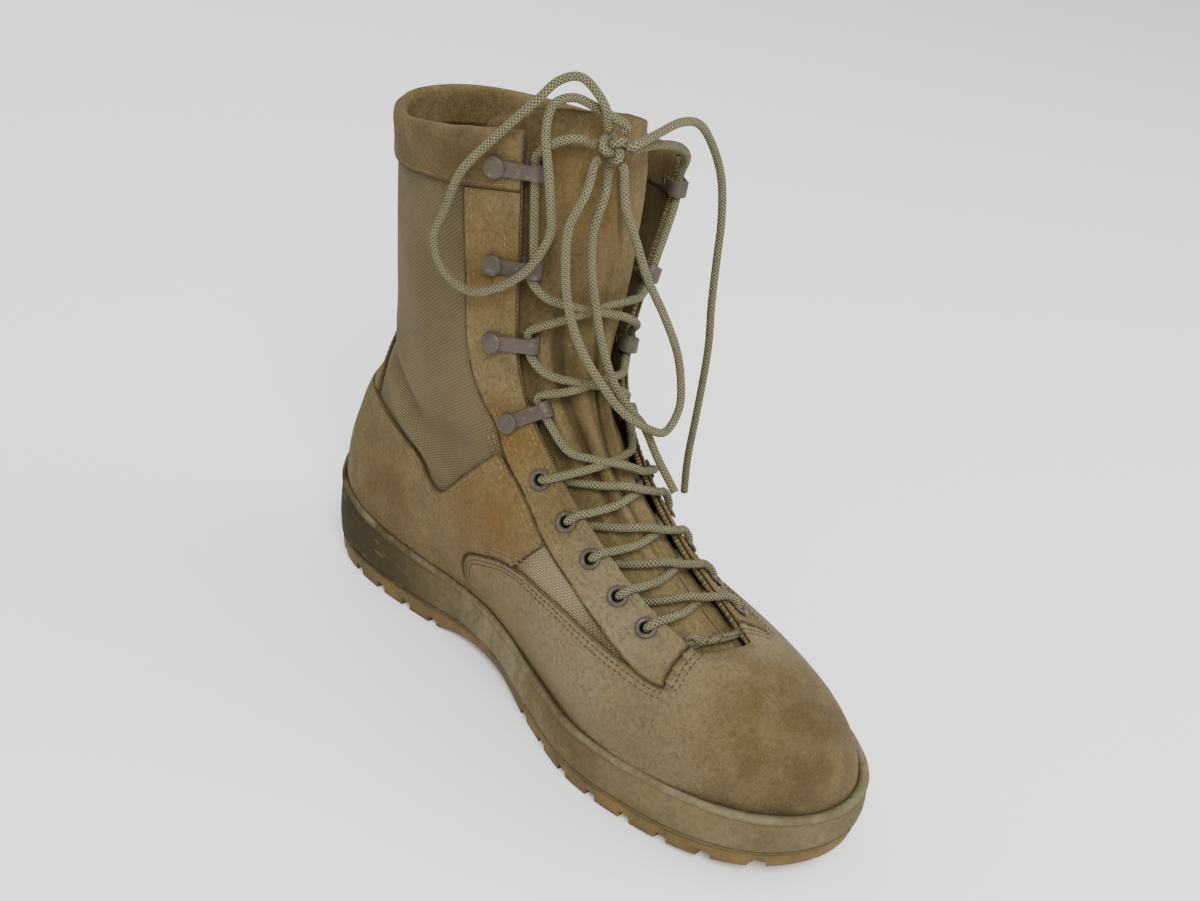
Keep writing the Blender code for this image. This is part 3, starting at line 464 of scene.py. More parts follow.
def flow(points, steps=LEG):
    """Smooth curve through given points, with a number of steps for each leg."""
    points = [np.array(p, float) for p in points]
    padded = [2 * points[0] - points[1]] + points + [2 * points[-1] - points[-2]]
    result = []
    for a, b, c, d in zip(padded, padded[1:], padded[2:], padded[3:]):
        for k in range(steps):
            t = k / steps
            result.append(0.5 * (2 * b + (c - a) * t + (2 * a - 5 * b + 4 * c - d) * t**2
                                 + (3 * b - a - 3 * c + d) * t**3))
    return result + [points[-1]]


def walked(points):
    """Distance along a line at each of its points."""
    return np.concatenate([[0], np.cumsum(np.linalg.norm(np.diff(points, axis=0), axis=1))])


def on_line(points, distances, wanted):
    """Points of a line at the wanted distances along it."""
    return np.column_stack([np.interp(wanted, distances, points[:, k])
                            for k in range(points.shape[1])])


def even(points, spacing):
    """Points of a line moved to even spacing along it."""
    points = np.array(points, float)
    distances = walked(points)
    count = max(2, round(distances[-1] / spacing) + 1)
    return on_line(points, distances, np.linspace(0, distances[-1], count))


def as_colour(source):
    """A socket as it is, or three numbers as a colour."""
    return source if isinstance(source, bpy.types.NodeSocket) else (*source, 1.0)


class Finish:
    """Node tree of one material, put together call by call."""

    def __init__(self, name, roughness, metallic=0.0, sheen=0.0, specular=0.12):
        self.material = bpy.data.materials.new(name)
        self.material.use_nodes = True
        self.tree = self.material.node_tree
        self.shader = self.tree.nodes["Principled BSDF"]
        settings = {"Roughness": roughness, "Metallic": metallic, "Specular IOR Level": specular,
                    "Sheen Weight": sheen, "Sheen Roughness": 0.5,
                    "Sheen Tint": (0.85, 0.70, 0.45, 1.0)}
        for socket, value in settings.items():
            self.shader.inputs[socket].default_value = value
        self.place = self.node("ShaderNodeTexCoord").outputs["Object"]

    def node(self, kind, **settings):
        """New node with its settings."""
        node = self.tree.nodes.new(kind)
        for key, value in settings.items():
            setattr(node, key, value)
        return node

    def feed(self, socket, source):
        """Link a socket, or set its value."""
        if isinstance(source, bpy.types.NodeSocket):
            self.tree.links.new(source, socket)
        else:
            socket.default_value = source

    def calc(self, operation, a, b=0.0):
        """Math node."""
        node = self.node("ShaderNodeMath", operation=operation)
        self.feed(node.inputs[0], a)
        self.feed(node.inputs[1], b)
        return node.outputs[0]

    def times(self, a, b):
        """Product of two values."""
        return self.calc("MULTIPLY", a, b)

    def noise(self, scale, detail=3.0, stretch=None, roughness=0.55):
        """Noise over the piece, its scale in features per metre."""
        node = self.node("ShaderNodeTexNoise")
        node.inputs["Scale"].default_value = scale
        node.inputs["Detail"].default_value = detail
        node.inputs["Roughness"].default_value = roughness
        place = self.place
        if stretch is not None:
            mapping = self.node("ShaderNodeMapping")
            mapping.inputs["Scale"].default_value = stretch
            self.feed(mapping.inputs["Vector"], place)
            place = mapping.outputs[0]
        self.feed(node.inputs["Vector"], place)
        return node.outputs[0]

    def ramp(self, value, low, high):
        """0 below low, 1 above high, smooth in between; low may be above high."""
        node = self.node("ShaderNodeMapRange", interpolation_type="SMOOTHSTEP")
        self.feed(node.inputs["Value"], value)
        node.inputs["From Min"].default_value = low
        node.inputs["From Max"].default_value = high
        return node.outputs[0]

    def mix(self, factor, a, b):
        """Mix of two colours."""
        node = self.node("ShaderNodeMix", data_type="RGBA")
        self.feed(node.inputs[0], factor)
        self.feed(node.inputs[6], as_colour(a))
        self.feed(node.inputs[7], as_colour(b))
        return node.outputs[2]

    def tint(self, tone, mask, strength, colour):
        """Another colour over a tone, where a mask shows it, by a strength."""
        return self.mix(self.times(mask, strength), tone, colour)

    def near(self, spot, reach):
        """1 at a spot of the boot, falling to 0 at its reach."""
        node = self.node("ShaderNodeVectorMath", operation="DISTANCE")
        self.feed(node.inputs[0], self.place)
        node.inputs[1].default_value = Vector(spot) + SHIFT
        return self.ramp(node.outputs["Value"], reach, 0.25 * reach)

    def axis(self, name):
        """One coordinate of the place on the boot."""
        split = self.node("ShaderNodeSeparateXYZ")
        self.feed(split.inputs[0], self.place)
        return split.outputs[name]

    def value(self, name):
        """Value stored on the mesh."""
        return self.node("ShaderNodeAttribute", attribute_name=name).outputs["Fac"]

    def bump(self, heights):
        """Bumps one on another: pairs of a height and its depth in metres."""
        normal = None
        for level, depth in heights:
            node = self.node("ShaderNodeBump")
            node.inputs["Distance"].default_value = depth
            self.feed(node.inputs["Height"], level)
            if normal is not None:
                self.feed(node.inputs["Normal"], normal)
            normal = node.outputs[0]
        self.feed(self.shader.inputs["Normal"], normal)

    def colour(self, source):
        """Set the base colour, and give the finished material."""
        self.feed(self.shader.inputs["Base Color"], as_colour(source))
        return self.material


TAN = (0.158, 0.117, 0.053)
BROWN = (0.087, 0.057, 0.019)
DARK = (0.042, 0.029, 0.011)
ORANGE = (0.128, 0.070, 0.017)
OLIVE = (0.082, 0.064, 0.027)
DUST = (0.170, 0.140, 0.082)


def suede(name, light, patches=(), fold_shading=False):
    """Rough leather: light is the share of its pale tan, patches are spots of colour; the tongue's
    two dark ones are painted shadow.
    """
    made = Finish(name, 0.95, sheen=0.05)
    broad = made.ramp(made.noise(24, 5), 0.32, 0.68)
    patchy = made.ramp(made.noise(70, 5), 0.38, 0.64)
    grain = made.noise(520, 5, roughness=0.75)
    fibre = made.noise(1300, 3, roughness=0.7)
    tone = made.tint(TAN, broad, 1 - light, BROWN)
    tone = made.tint(tone, patchy, 0.50, OLIVE)
    for spot, reach, colour, strength in patches:
        spot_mask = made.times(made.near(spot, reach), made.ramp(patchy, -1.2, 1.0))
        tone = made.tint(tone, spot_mask, strength, colour)
    tone = made.tint(tone, made.ramp(grain, 0.60, 0.34), 0.46, DARK)
    tone = made.tint(tone, made.ramp(fibre, 0.52, 0.74), 0.34, (0.235, 0.178, 0.086))
    # Painted shade in the dents of the folds and painted highlight on their ridges, read from the
    # folds' rise
    if fold_shading:
        fold = made.value("fold")
        tone = made.tint(tone, made.ramp(fold, 0.25, -1.3), 0.72, DARK)
        tone = made.tint(tone, made.ramp(fold, 0.5, 2.0), 0.40, TAN)
    rim = made.ramp(made.value("edge"), 0.0012, 0.0)
    tone = made.tint(tone, rim, 0.55, DARK)
    made.bump([(made.times(rim, -1.0), 0.0007), (grain, 0.0007), (fibre, 0.0005)])
    return made.colour(tone)


def nylon(name):
    """Ribbed weave, its threads counted along the cloth's own directions."""
    made = Finish(name, 0.75, sheen=0.05)
    across = made.times(made.value("cloth_u"), 2 * math.pi / CLOTH_THREAD)
    up = made.times(made.value("cloth_v"), 2 * math.pi / CLOTH_RIB)
    rib = made.calc("SINE", made.calc("ADD", up, made.times(made.noise(120, 2), 1.6)))
    half = made.calc("ADD", across, made.times(made.calc("SIGN", rib), math.pi / 2))
    weave = made.calc("ADD", made.times(made.calc("ABSOLUTE", rib), 0.62),
                      made.times(made.calc("SINE", half), 0.38))
    tone = made.mix(made.ramp(made.noise(28, 4), 0.35, 0.68), (0.116, 0.089, 0.042),
                    (0.084, 0.064, 0.030))
    tone = made.tint(tone, made.near((-0.045, -0.030, 0.085), 0.036), 0.8, (0.240, 0.196, 0.118))
    tone = made.tint(tone, made.ramp(weave, 0.34, -0.15), 0.72, (0.046, 0.035, 0.016))
    tone = made.tint(tone, made.ramp(weave, 0.65, 0.98), 0.50, (0.250, 0.195, 0.098))
    made.bump([(weave, 0.00055), (made.noise(900, 3), 0.0002)])
    return made.colour(tone)


def lining(name):
    """Brushed knit of the boot's inside."""
    made = Finish(name, 0.95, sheen=0.15)
    knit = made.node("ShaderNodeTexVoronoi")
    knit.inputs["Scale"].default_value = 520
    made.feed(knit.inputs["Vector"], made.place)
    tone = made.mix(made.ramp(made.noise(60, 4), 0.3, 0.7), (0.145, 0.110, 0.060),
                    (0.100, 0.074, 0.038))
    tone = made.mix(made.times(knit.outputs[0], 0.5), (0.165, 0.128, 0.074), tone)
    made.bump([(knit.outputs[0], 0.0005)])
    return made.colour(tone)


def sidewall_rubber(name):
    """Olive-brown rubber, dusty on the lip and in the arch, darker at the heel, with painted shade in
    the groove near its bottom.
    """
    made = Finish(name, 0.82, specular=0.08)
    rise = made.value("rise")
    streak = made.noise(70, 5, stretch=(1.0, 1.0, 0.35))
    tone = made.mix(made.ramp(made.noise(30, 5), 0.36, 0.64), (0.116, 0.091, 0.044),
                    (0.080, 0.062, 0.029))
    tone = made.tint(tone, made.ramp(made.axis("Y"), 0.015, 0.125), 0.88, (0.022, 0.016, 0.0065))
    tone = made.tint(tone, made.near((0.0, -0.150, 0.020), 0.075), 0.30, (0.125, 0.105, 0.056))
    lip = made.times(made.ramp(rise, 0.84, 0.97), made.ramp(streak, 0.30, 0.72))
    arch = made.times(made.near((-0.035, 0.005, 0.022), 0.070), made.ramp(streak, 0.34, 0.66))
    tone = made.tint(tone, made.calc("MAXIMUM", lip, arch), 0.62, (0.182, 0.162, 0.100))
    # Painted shade: a dark band along the moulded groove near the bottom of the sidewall
    seam = made.ramp(made.calc("ABSOLUTE", made.calc("SUBTRACT", rise, 0.10)), 0.05, 0.0)
    tone = made.tint(tone, seam, 0.45, (0.035, 0.028, 0.014))
    scuff = made.ramp(made.noise(190, 6, stretch=(1.0, 0.35, 1.6)), 0.60, 0.72)
    tone = made.tint(tone, scuff, 0.38, (0.165, 0.140, 0.082))
    grime = made.ramp(made.noise(420, 5), 0.56, 0.40)
    tone = made.tint(tone, grime, 0.22, (0.030, 0.024, 0.012))
    made.bump([(made.noise(160, 5), 0.0006), (made.noise(900, 4), 0.00025)])
    return made.colour(tone)


def tread_rubber(name):
    """Gum rubber of the lugs, dirtier towards the floor."""
    made = Finish(name, 0.75, specular=0.20)
    tone = made.mix(made.ramp(made.noise(55, 5), 0.35, 0.68), (0.118, 0.076, 0.025),
                    (0.072, 0.049, 0.018))
    soil = made.times(made.ramp(made.axis("Z"), 0.0045, 0.0),
                      made.ramp(made.noise(120, 4), 0.35, 0.6))
    tone = made.tint(tone, soil, 0.6, (0.042, 0.033, 0.018))
    made.bump([(made.noise(420, 5), 0.0004)])
    return made.colour(tone)


def painted_metal(name):
    """Pinkish-brown paint over metal, worn pale where it rubs."""
    made = Finish(name, 0.46, metallic=0.1, specular=0.28)
    tone = made.mix(made.ramp(made.noise(90, 3), 0.3, 0.7), (0.064, 0.049, 0.036),
                    (0.047, 0.036, 0.026))
    wear = made.ramp(made.noise(420, 4), 0.56, 0.70)
    tone = made.tint(tone, wear, 0.4, (0.150, 0.122, 0.100))
    made.bump([(made.noise(700, 3), 0.00012)])
    return made.colour(tone)


def braid(name):
    """Round braided cord: pale threads in diamonds, with dark flecks between them."""
    made = Finish(name, 0.85, sheen=0.05)
    along = made.times(made.value("along"), 2 * math.pi / BRAID_PITCH)
    around = made.times(made.value("around"), 2 * math.pi * 3.0)
    threads = made.calc("MAXIMUM", made.calc("SINE", made.calc("ADD", along, around)),
                        made.calc("SINE", made.calc("SUBTRACT", along, around)))
    gaps = made.times(made.calc("SINE", along), made.calc("SINE", around))
    tone = made.mix(made.ramp(threads, -0.2, 0.8), (0.098, 0.090, 0.048), (0.215, 0.196, 0.112))
    tone = made.tint(tone, made.ramp(gaps, 0.30, 0.72), 0.62, (0.040, 0.042, 0.024))
    soil = made.ramp(made.noise(40, 3), 0.4, 0.7)
    tone = made.tint(tone, soil, 0.30, (0.130, 0.108, 0.056))
    made.bump([(threads, 0.00035), (made.times(gaps, -1.0), 0.0003),
               (made.noise(1800, 2), 0.00012)])
    return made.colour(tone)


def thread(name, pale, dim):
    """Sewing thread, from pale to dim along its rows."""
    made = Finish(name, 0.8, sheen=0.02)
    tone = made.mix(made.ramp(made.noise(160, 3), 0.35, 0.65), pale, dim)
    made.bump([(made.noise(2200, 2), 0.0001)])
    return made.colour(tone)


def add_object(name, data):
    """New object in the scene."""
    made = bpy.data.objects.new(name, data)
    bpy.context.scene.collection.objects.link(made)
    return made


def mesh_object(name, points, faces):
    """New object from points and faces; a cutter for a Boolean, or a piece yet to be settled."""
    mesh = bpy.data.meshes.new(name)
    mesh.from_pydata([tuple(p) for p in points], [], [tuple(f) for f in faces])
    mesh.update()
    return add_object(name, mesh)


def drawn_object(name, drawing):
    """New object from a bmesh, which is freed."""
    mesh = bpy.data.meshes.new(name)
    drawing.to_mesh(mesh)
    drawing.free()
    return add_object(name, mesh)


def piece(name, points, faces, finish, nodes=(), inner=()):
    """Mesh piece that rides on the boot, with the CAD nodes it stands for."""
    made = mesh_object(name, points, faces)
    for material in (finish, *inner):
        made.data.materials.append(material)
    made.data.shade_smooth()
    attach(made, "root")
    if nodes:
        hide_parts(*nodes)
    return made


def store(made, name, values):
    """Values on the points of a mesh, for its material."""
    layer = made.data.attributes.new(name, "FLOAT", "POINT")
    layer.data.foreach_set("value", np.asarray(values, np.float32))


def apply_modifiers(made):
    """Turn a piece's modifiers into its mesh."""
    depsgraph = bpy.context.evaluated_depsgraph_get()
    mesh = bpy.data.meshes.new_from_object(made.evaluated_get(depsgraph))
    made.modifiers.clear()
    old = made.data
    made.data = mesh
    bpy.data.meshes.remove(old)
    mesh.shade_smooth()


def upper_grid(shares, offset):
    """Points, faces and cloth directions of the upper's face between two rings."""
    points = []
    cloth = []
    for share in shares:
        theta = columns(share)[:-1]
        ring = shape(theta, height(theta, share), offset)
        points.append(ring)
        steps = np.linalg.norm(np.diff(ring, axis=0, prepend=ring[-1:]), axis=1)
        cloth.append(np.column_stack([np.cumsum(steps), ring[:, 2]]))
    count = len(points[0])
    throat = range(BACK_COLUMNS, BACK_COLUMNS + 2 * FRONT_COLUMNS)
    open_level = np.searchsorted(shares, THROAT_START - 1e-6)
    faces = [face for face in ring_faces(len(shares), count)
             if face[0] // count < open_level or face[0] % count not in throat]
    return np.vstack(points), faces, np.vstack(cloth)


def drop_loose(made):
    """Remove points that no face uses."""
    clean = bmesh.new()
    clean.from_mesh(made.data)
    bmesh.ops.delete(clean, geom=[v for v in clean.verts if not v.link_faces], context="VERTS")
    clean.to_mesh(made.data)
    clean.free()


def solidify(made, thickness, offset, inner=0):
    """Thickness for an open face; inner is the material of its other side."""
    shell = made.modifiers.new("thickness", "SOLIDIFY")
    shell.thickness = thickness
    shell.offset = offset
    shell.use_even_offset = False
    shell.material_offset = inner


def boolean(made, operation, tool):
    """Boolean of a piece with a cutter."""
    step = made.modifiers.new(operation.lower(), "BOOLEAN")
    step.operation = operation
    step.solver = "EXACT"
    step.object = tool


def bevel(made, width):
    """Rounded edges."""
    edge = made.modifiers.new("rounded", "BEVEL")
    edge.width = width
    edge.segments = 2
    edge.angle_limit = math.radians(50)
    edge.harden_normals = False


def in_metres(outline, across=LENGTH):
    """Outline in shares turned into metres."""
    return [(a * across, b * COLLAR_HEIGHT) for a, b in outline]


def line_distance(spots, line):
    """Distance of points to a line of points."""
    best = np.full(len(spots), 1.0)
    for start, end in zip(line, line[1:]):
        run = end - start
        away = spots - start
        t = np.clip(away @ run / max(run @ run, 1e-12), 0, 1)
        best = np.minimum(best, np.linalg.norm(away - t[:, None] * run, axis=1))
    return best


def throat_line(side):
    """Points of the throat's edge on one side."""
    shares = np.linspace(THROAT_START, 1.0, 60)
    return np.array([skin(throat_edge(s, side), s) for s in shares])


def half_width(line, z):
    """Half width, at heights z, of an outline seen from behind."""
    return np.interp(z, [b * COLLAR_HEIGHT for _, b in line], [a * BALL_WIDTH for a, _ in line])


VAMP_LINE = flow(VAMP_EDGE)
EYESTAY_LINE = flow(EYESTAY_BACK)
QUARTER_LINE = flow(QUARTER_TOP)


def overlay_outlines():
    """Closed outlines of the overlays cut from the side, and the lines where they end."""
    quarter_front = EYESTAY_LINE[5 * LEG:6 * LEG + 1][::-1]
    quarter_edge = VAMP_LINE[:3 * LEG + 1] + quarter_front + QUARTER_LINE
    eyestay_edge = EYESTAY_LINE + VAMP_LINE[6 * LEG:]
    return {
        "vamp": ([(.124, -.05)] + VAMP_LINE + [(-.60, .400), (-.60, -.05)], VAMP_LINE),
        "quarter": ([(.600, -.05), (.124, -.05)] + quarter_edge, quarter_edge),
        "eyestay": (eyestay_edge + [(-.200, 1.20), (.139, 1.20)], eyestay_edge),
    }


def anticlockwise(outline):
    """Closed outline in the order that runs anticlockwise."""
    area = sum(p[0] * q[1] - q[0] * p[1] for p, q in zip(outline, outline[1:] + outline[:1]))
    return outline if area > 0 else outline[::-1]


def extruded(name, outline, low, high, plane):
    """Cutter from an outline in metres, seen from the side or from behind."""
    drawn = anticlockwise(outline)
    x, y, z = SHIFT
    if plane == "YZ":
        points = [(depth + x, a + y, b + z) for depth in (low, high) for a, b in drawn]
    else:
        points = [(a + x, depth + y, b + z) for depth in (high, low) for a, b in drawn]
    count = len(outline)
    ends = [tuple(range(count))[::-1], tuple(range(count, 2 * count))]
    return mesh_object(name, points, ends + ring_faces(2, count))


def inset(outline, distance):
    """Closed outline moved inwards."""
    flat = [Vector(p) for p in anticlockwise(outline)]
    result = []
    for k, point in enumerate(flat):
        before = (point - flat[k - 1]).normalized()
        after = (flat[(k + 1) % len(flat)] - point).normalized()
        first = Vector((-before.y, before.x))
        middle = (first + Vector((-after.y, after.x))).normalized()
        result.append(tuple(point + middle * distance / max(middle.dot(first), 0.3)))
    return result


def make_overlay(name, shares, outline, line, low, high, finish, holes=None, plane="YZ"):
    """Leather overlay: the upper's shell inside an outline, with its rim rounded."""
    points, faces, _ = upper_grid(shares, GAP)
    made = piece(name + "_leather", points, faces, finish, [name])
    drop_loose(made)
    solidify(made, OVERLAY, 1.0)
    metres = in_metres(outline, LENGTH if plane == "YZ" else BALL_WIDTH)
    tool = extruded(name + "_cutter", inset(metres, RIM_INSET), low, high, plane)
    boolean(made, "INTERSECT", tool)
    if holes is not None:
        boolean(made, "DIFFERENCE", holes)
    apply_modifiers(made)
    bpy.data.objects.remove(tool)
    spots = np.array([v.co for v in made.data.vertices])
    if plane == "YZ":
        distance = line_distance(spots[:, 1:3] - np.array(SHIFT)[1:3], np.array(in_metres(line)))
    else:
        distance = np.maximum(half_width(line, spots[:, 2]) - np.abs(spots[:, 0] - SHIFT.x), 0)
    if name.startswith("eyestay"):
        side = -1 if name.endswith("medial") else 1
        distance = np.minimum(distance, line_distance(spots, throat_line(side)))
    store(made, "edge", distance)


def beside_edge(share, side, distance, reach, steps):
    """Angle at a distance from the throat's edge; reach is the widest angle looked at."""
    angles = throat_edge(share, side) + side * np.linspace(0, reach, steps)
    ring = shape(angles, height(angles, share), creased=False)
    away = np.linalg.norm(ring - ring[0], axis=1)
    return side * float(np.interp(distance, away, angles * side))


def set_back(share, side, distance):
    """Angle that lies a distance behind the throat's edge."""
    return beside_edge(share, side, distance, 1.2, 240)


def set_ahead(share, side, distance):
    """Angle that lies a distance before the throat's edge, over the tongue."""
    return beside_edge(share, side, distance, -0.7, 160)


def fitting_frame(share, side, distance):
    """Matrix behind the throat's edge: X towards the throat, Y along its edge, Z outwards."""
    theta = set_back(share, side, distance)
    here = skin(theta, share)
    out = (skin(theta, share, 0.001) - here).normalized()
    ends = [skin(throat_edge(s, side), s) for s in (share - 0.01, share + 0.01)]
    along = side * (ends[0] - ends[1])
    along = (along - out * along.dot(out)).normalized()
    turn = Matrix((along.cross(out), along, out)).transposed().to_4x4()
    return Matrix.Translation(here) @ turn


def lathe(profile, steps=32, centre=(0, 0)):
    """Points and faces of a closed profile of radius and height turned about Z."""
    points = []
    faces = []
    count = len(profile)
    for turn in range(steps):
        angle = 2 * math.pi * turn / steps
        for radius, level in profile:
            points.append((centre[0] + radius * math.cos(angle),
                           centre[1] + radius * math.sin(angle), level))
        for k in range(count):
            after = (turn + 1) % steps * count
            faces.append((turn * count + k, turn * count + (k + 1) % count,
                          after + (k + 1) % count, after + k))
    return points, faces


def build_upper(looks, holes):
    """Hollow shaft and foot: ribbed nylon outside, knit lining inside."""
    shares = np.concatenate([np.linspace(0, THROAT_START, 20, endpoint=False),
                             np.linspace(THROAT_START, 1.0, 84)])
    points, faces, cloth = upper_grid(shares, 0.0)
    made = piece("upper_shell", points, faces, looks["nylon"], ["upper"],
                 [looks["lining"], looks["flap"]])
    store(made, "cloth_u", cloth[:, 0])
    store(made, "cloth_v", cloth[:, 1])
    drop_loose(made)
    solidify(made, WALL, -1.0, inner=1)
    boolean(made, "DIFFERENCE", holes)
    apply_modifiers(made)
    for face in made.data.polygons:
        spot = face.center - SHIFT
        if face.material_index == 1 and spot.y < FLAP_BACK and spot.z > FLAP_LOW:
            face.material_index = 2


def tongue_folds(across, shares):
    """Rise of the tongue's folds along one of its rows."""
    total = np.zeros(len(across))
    for a0, s0, a1, s1, rise, reach in TONGUE_FOLDS:
        t = (shares - s0) / (s1 - s0)
        line = a0 + (a1 - a0) * t + 0.03 * np.sin(7 * t)
        fade = np.clip(t / 0.25, 0, 1) * np.clip((1 - t) / 0.25, 0, 1)
        total += rise * fade * np.exp(-((across - line) / reach)**2)
    return total + 0.0003 * np.sin(37 * across + 11 * shares) * np.sin(29 * shares)


def tongue_row(across, shares):
    """Points of one row of the tongue, and the rise of its folds, which end under the flaps."""
    medial = across < 0
    sizes = hermite(TONGUE[:, 0], TONGUE[:, 1:], shares)
    theta = np.radians(np.where(medial, sizes[:, 0], sizes[:, 1])) * across
    limit = np.array([abs(throat_edge(min(s, 1.0), -1 if a < 0 else 1))
                      for s, a in zip(shares, across)])
    early = np.where(medial, 0.16, np.interp(shares, (0.50, 0.60), (0.05, 0.16)))
    hidden = np.clip((np.abs(theta) - limit + early) / np.maximum(early, 0.12), 0, 1)
    fold = tongue_folds(across, shares) * (1 - hidden)
    lateral_depth = np.interp(shares, (0.50, 0.62), (0.0044, 0.0078))
    sunk = np.where(medial, sizes[:, 3], np.minimum(sizes[:, 3], lateral_depth))
    offset = -(sizes[:, 2] + (sunk - sizes[:, 2]) * hidden) + fold
    low = np.minimum(shares, TONGUE_HIGH)
    spots = shape(theta, height(theta, low), offset, flared=False)
    step = 0.03
    under = shape(theta, height(theta, low - step), offset, flared=False)
    return spots + (spots - under) * ((shares - low) / step)[:, None], fold


def build_tongue(looks):
    """Suede tongue behind the flaps, with long folds that end under them."""
    rows = 130
    steps = 96
    across = np.linspace(-1, 1, steps + 1)
    top = np.interp(across, TONGUE_TOP[:, 0], TONGUE_TOP[:, 1])
    points = []
    values = []
    for row in range(rows):
        spots, fold = tongue_row(across, TONGUE_LOW + row / (rows - 1) * (top - TONGUE_LOW))
        points.append(spots)
        values.append(fold)
    count = steps + 1
    faces = [face for face in ring_faces(rows, count) if face[0] % count < steps]
    made = piece("tongue_leather", np.vstack(points), faces, looks["tongue"], ["tongue"],
                 [looks["lining"]])
    rim = np.tile(np.minimum(np.arange(count), count - 1 - np.arange(count)) * 0.0007, rows)
    down = np.repeat((rows - 1 - np.arange(rows)) * 0.0014, count)
    store(made, "edge", np.minimum(rim, down))
    # Rise of the folds in millimetres, for the painted shade and painted highlight on them
    store(made, "fold", np.concatenate(values) * MILLIMETRES)
    solidify(made, TONGUE_THICKNESS, -1.0, inner=1)
    bevel(made, 0.0006)
    apply_modifiers(made)


def build_band(looks):
    """Leather band round the collar, rolled over its top edge and down inside."""
    middle = 0.955
    theta = np.concatenate([np.linspace(throat_edge(middle, -1), -math.pi, 110),
                            np.linspace(math.pi, throat_edge(middle, 1), 110)[1:]])
    rings = []
    rise = []
    for share, offset, lift in BAND_PROFILE:
        puff = 0.00025 * np.sin(21 * theta) * np.sin(8 * theta + share * 30) * (share > 0.94)
        ring = shape(theta, height(theta, share) + lift, 0.0)
        level = height(theta, min(share, 0.99))
        out = (shape(theta, level, 0.001) - shape(theta, level, 0.0)) / 0.001
        rings.append(ring + out * (offset + puff * np.sign(offset))[:, None])
        rise.append((share - BAND_START) * 0.22 + lift)
    count = len(theta)
    total = len(BAND_PROFILE)
    faces = []
    for level in range(total):
        for k in range(count - 1):
            a = level * count + k
            c = (level + 1) % total * count + k
            faces.append((a, c, c + 1, a + 1))
    faces.append(tuple(k * count for k in range(total))[::-1])
    faces.append(tuple(k * count + count - 1 for k in range(total)))
    made = piece("collar_band_leather", np.vstack(rings), faces, looks["collar"],
                 ["collar_band"])
    store(made, "edge", np.repeat(np.maximum(rise, 0), count))


def sole_theta():
    """Angles of the sole's columns, and their places along the sole."""
    theta = -math.pi + 2 * math.pi * np.arange(SOLE_COLUMNS) / SOLE_COLUMNS
    return theta, (1 - np.cos(theta)) / 2


def sole_ring(inset_by, heights):
    """Ring of the sole's outline: inset inwards, with its heights."""
    theta, share = sole_theta()
    rows = sole_rows(share)
    half = BALL_WIDTH * np.where(theta < 0, rows[:, 0], rows[:, 1]) - inset_by
    y = (share - 0.5) * (LENGTH - 2 * inset_by)
    return np.column_stack([np.sin(theta) * half + swing(y), y, heights]) + np.array(SHIFT)


def ring_faces(rings, count):
    """Faces between rings of points."""
    faces = []
    for level in range(rings - 1):
        for k in range(count):
            a = level * count + k
            b = level * count + (k + 1) % count
            faces.append((a, b, b + count, a + count))
    return faces


def rod_faces(rings, count):
    """Faces between rings, and one over each end."""
    last = (rings - 1) * count
    return [*ring_faces(rings, count), tuple(range(count))[::-1], tuple(range(last, last + count))]


def moved(faces, start):
    """Faces of points that are counted from start."""
    return [tuple(start + k for k in face) for face in faces]


def cap_faces(base, count, turned):
    """Strips across a ring whose points lie in pairs across the boot."""
    faces = []
    for k in range(count // 2):
        strip = [base + k, base + k + 1, base + count - k - 1, base + (count - k) % count]
        corners = list(dict.fromkeys(strip))
        faces.append(tuple(corners[::-1] if turned else corners))
    return faces


def sole_piece(name, rings, finish, node):
    """Piece from rings of the sole's columns, closed by strips below and above."""
    faces = (ring_faces(len(rings), SOLE_COLUMNS) + cap_faces(0, SOLE_COLUMNS, True)
             + cap_faces((len(rings) - 1) * SOLE_COLUMNS, SOLE_COLUMNS, False))
    return piece(name, np.vstack(rings), faces, finish, [node])


def build_midsole(looks):
    """Rubber cup: bulging sidewall, grooved lip, and the wall down to its floor."""
    theta, share = sole_theta()
    rows = sole_rows(share)
    low = SIDEWALL_HEIGHT * rows[:, PARTING] + GAP
    top = SIDEWALL_HEIGHT * rows[:, LIP]
    floor = SIDEWALL_HEIGHT * rows[:, FLOOR]
    last = len(MIDSOLE_PROFILE) - 1
    rings = []
    rises = []
    for place in np.linspace(0, last, 3 * last + 1):
        k = min(int(place), last - 1)
        step, deep = MIDSOLE_PROFILE[k] + (MIDSOLE_PROFILE[k + 1] - MIDSOLE_PROFILE[k]) * (place - k)
        wear = 0.0003 * np.sin(9 * theta + 2) * np.sin(23 * theta) * (step > 0.7)
        rings.append(sole_ring(deep, low + step * (top - low) + wear))
        rises.append(step)
    for t in (1.0, 0.93, 0.6, 0.3, 0.0):
        level = floor + t * (top - floor) - (0.0007 if t == 1.0 else 0.0)
        rings.append(shape(theta, level, OVERLAY + 2 * GAP, creased=False))
        rises.append(0.9 if t > 0.5 else 0.2)
    made = sole_piece("midsole_rubber", rings, looks["sidewall"], "midsole")
    store(made, "rise", np.repeat(rises, SOLE_COLUMNS))


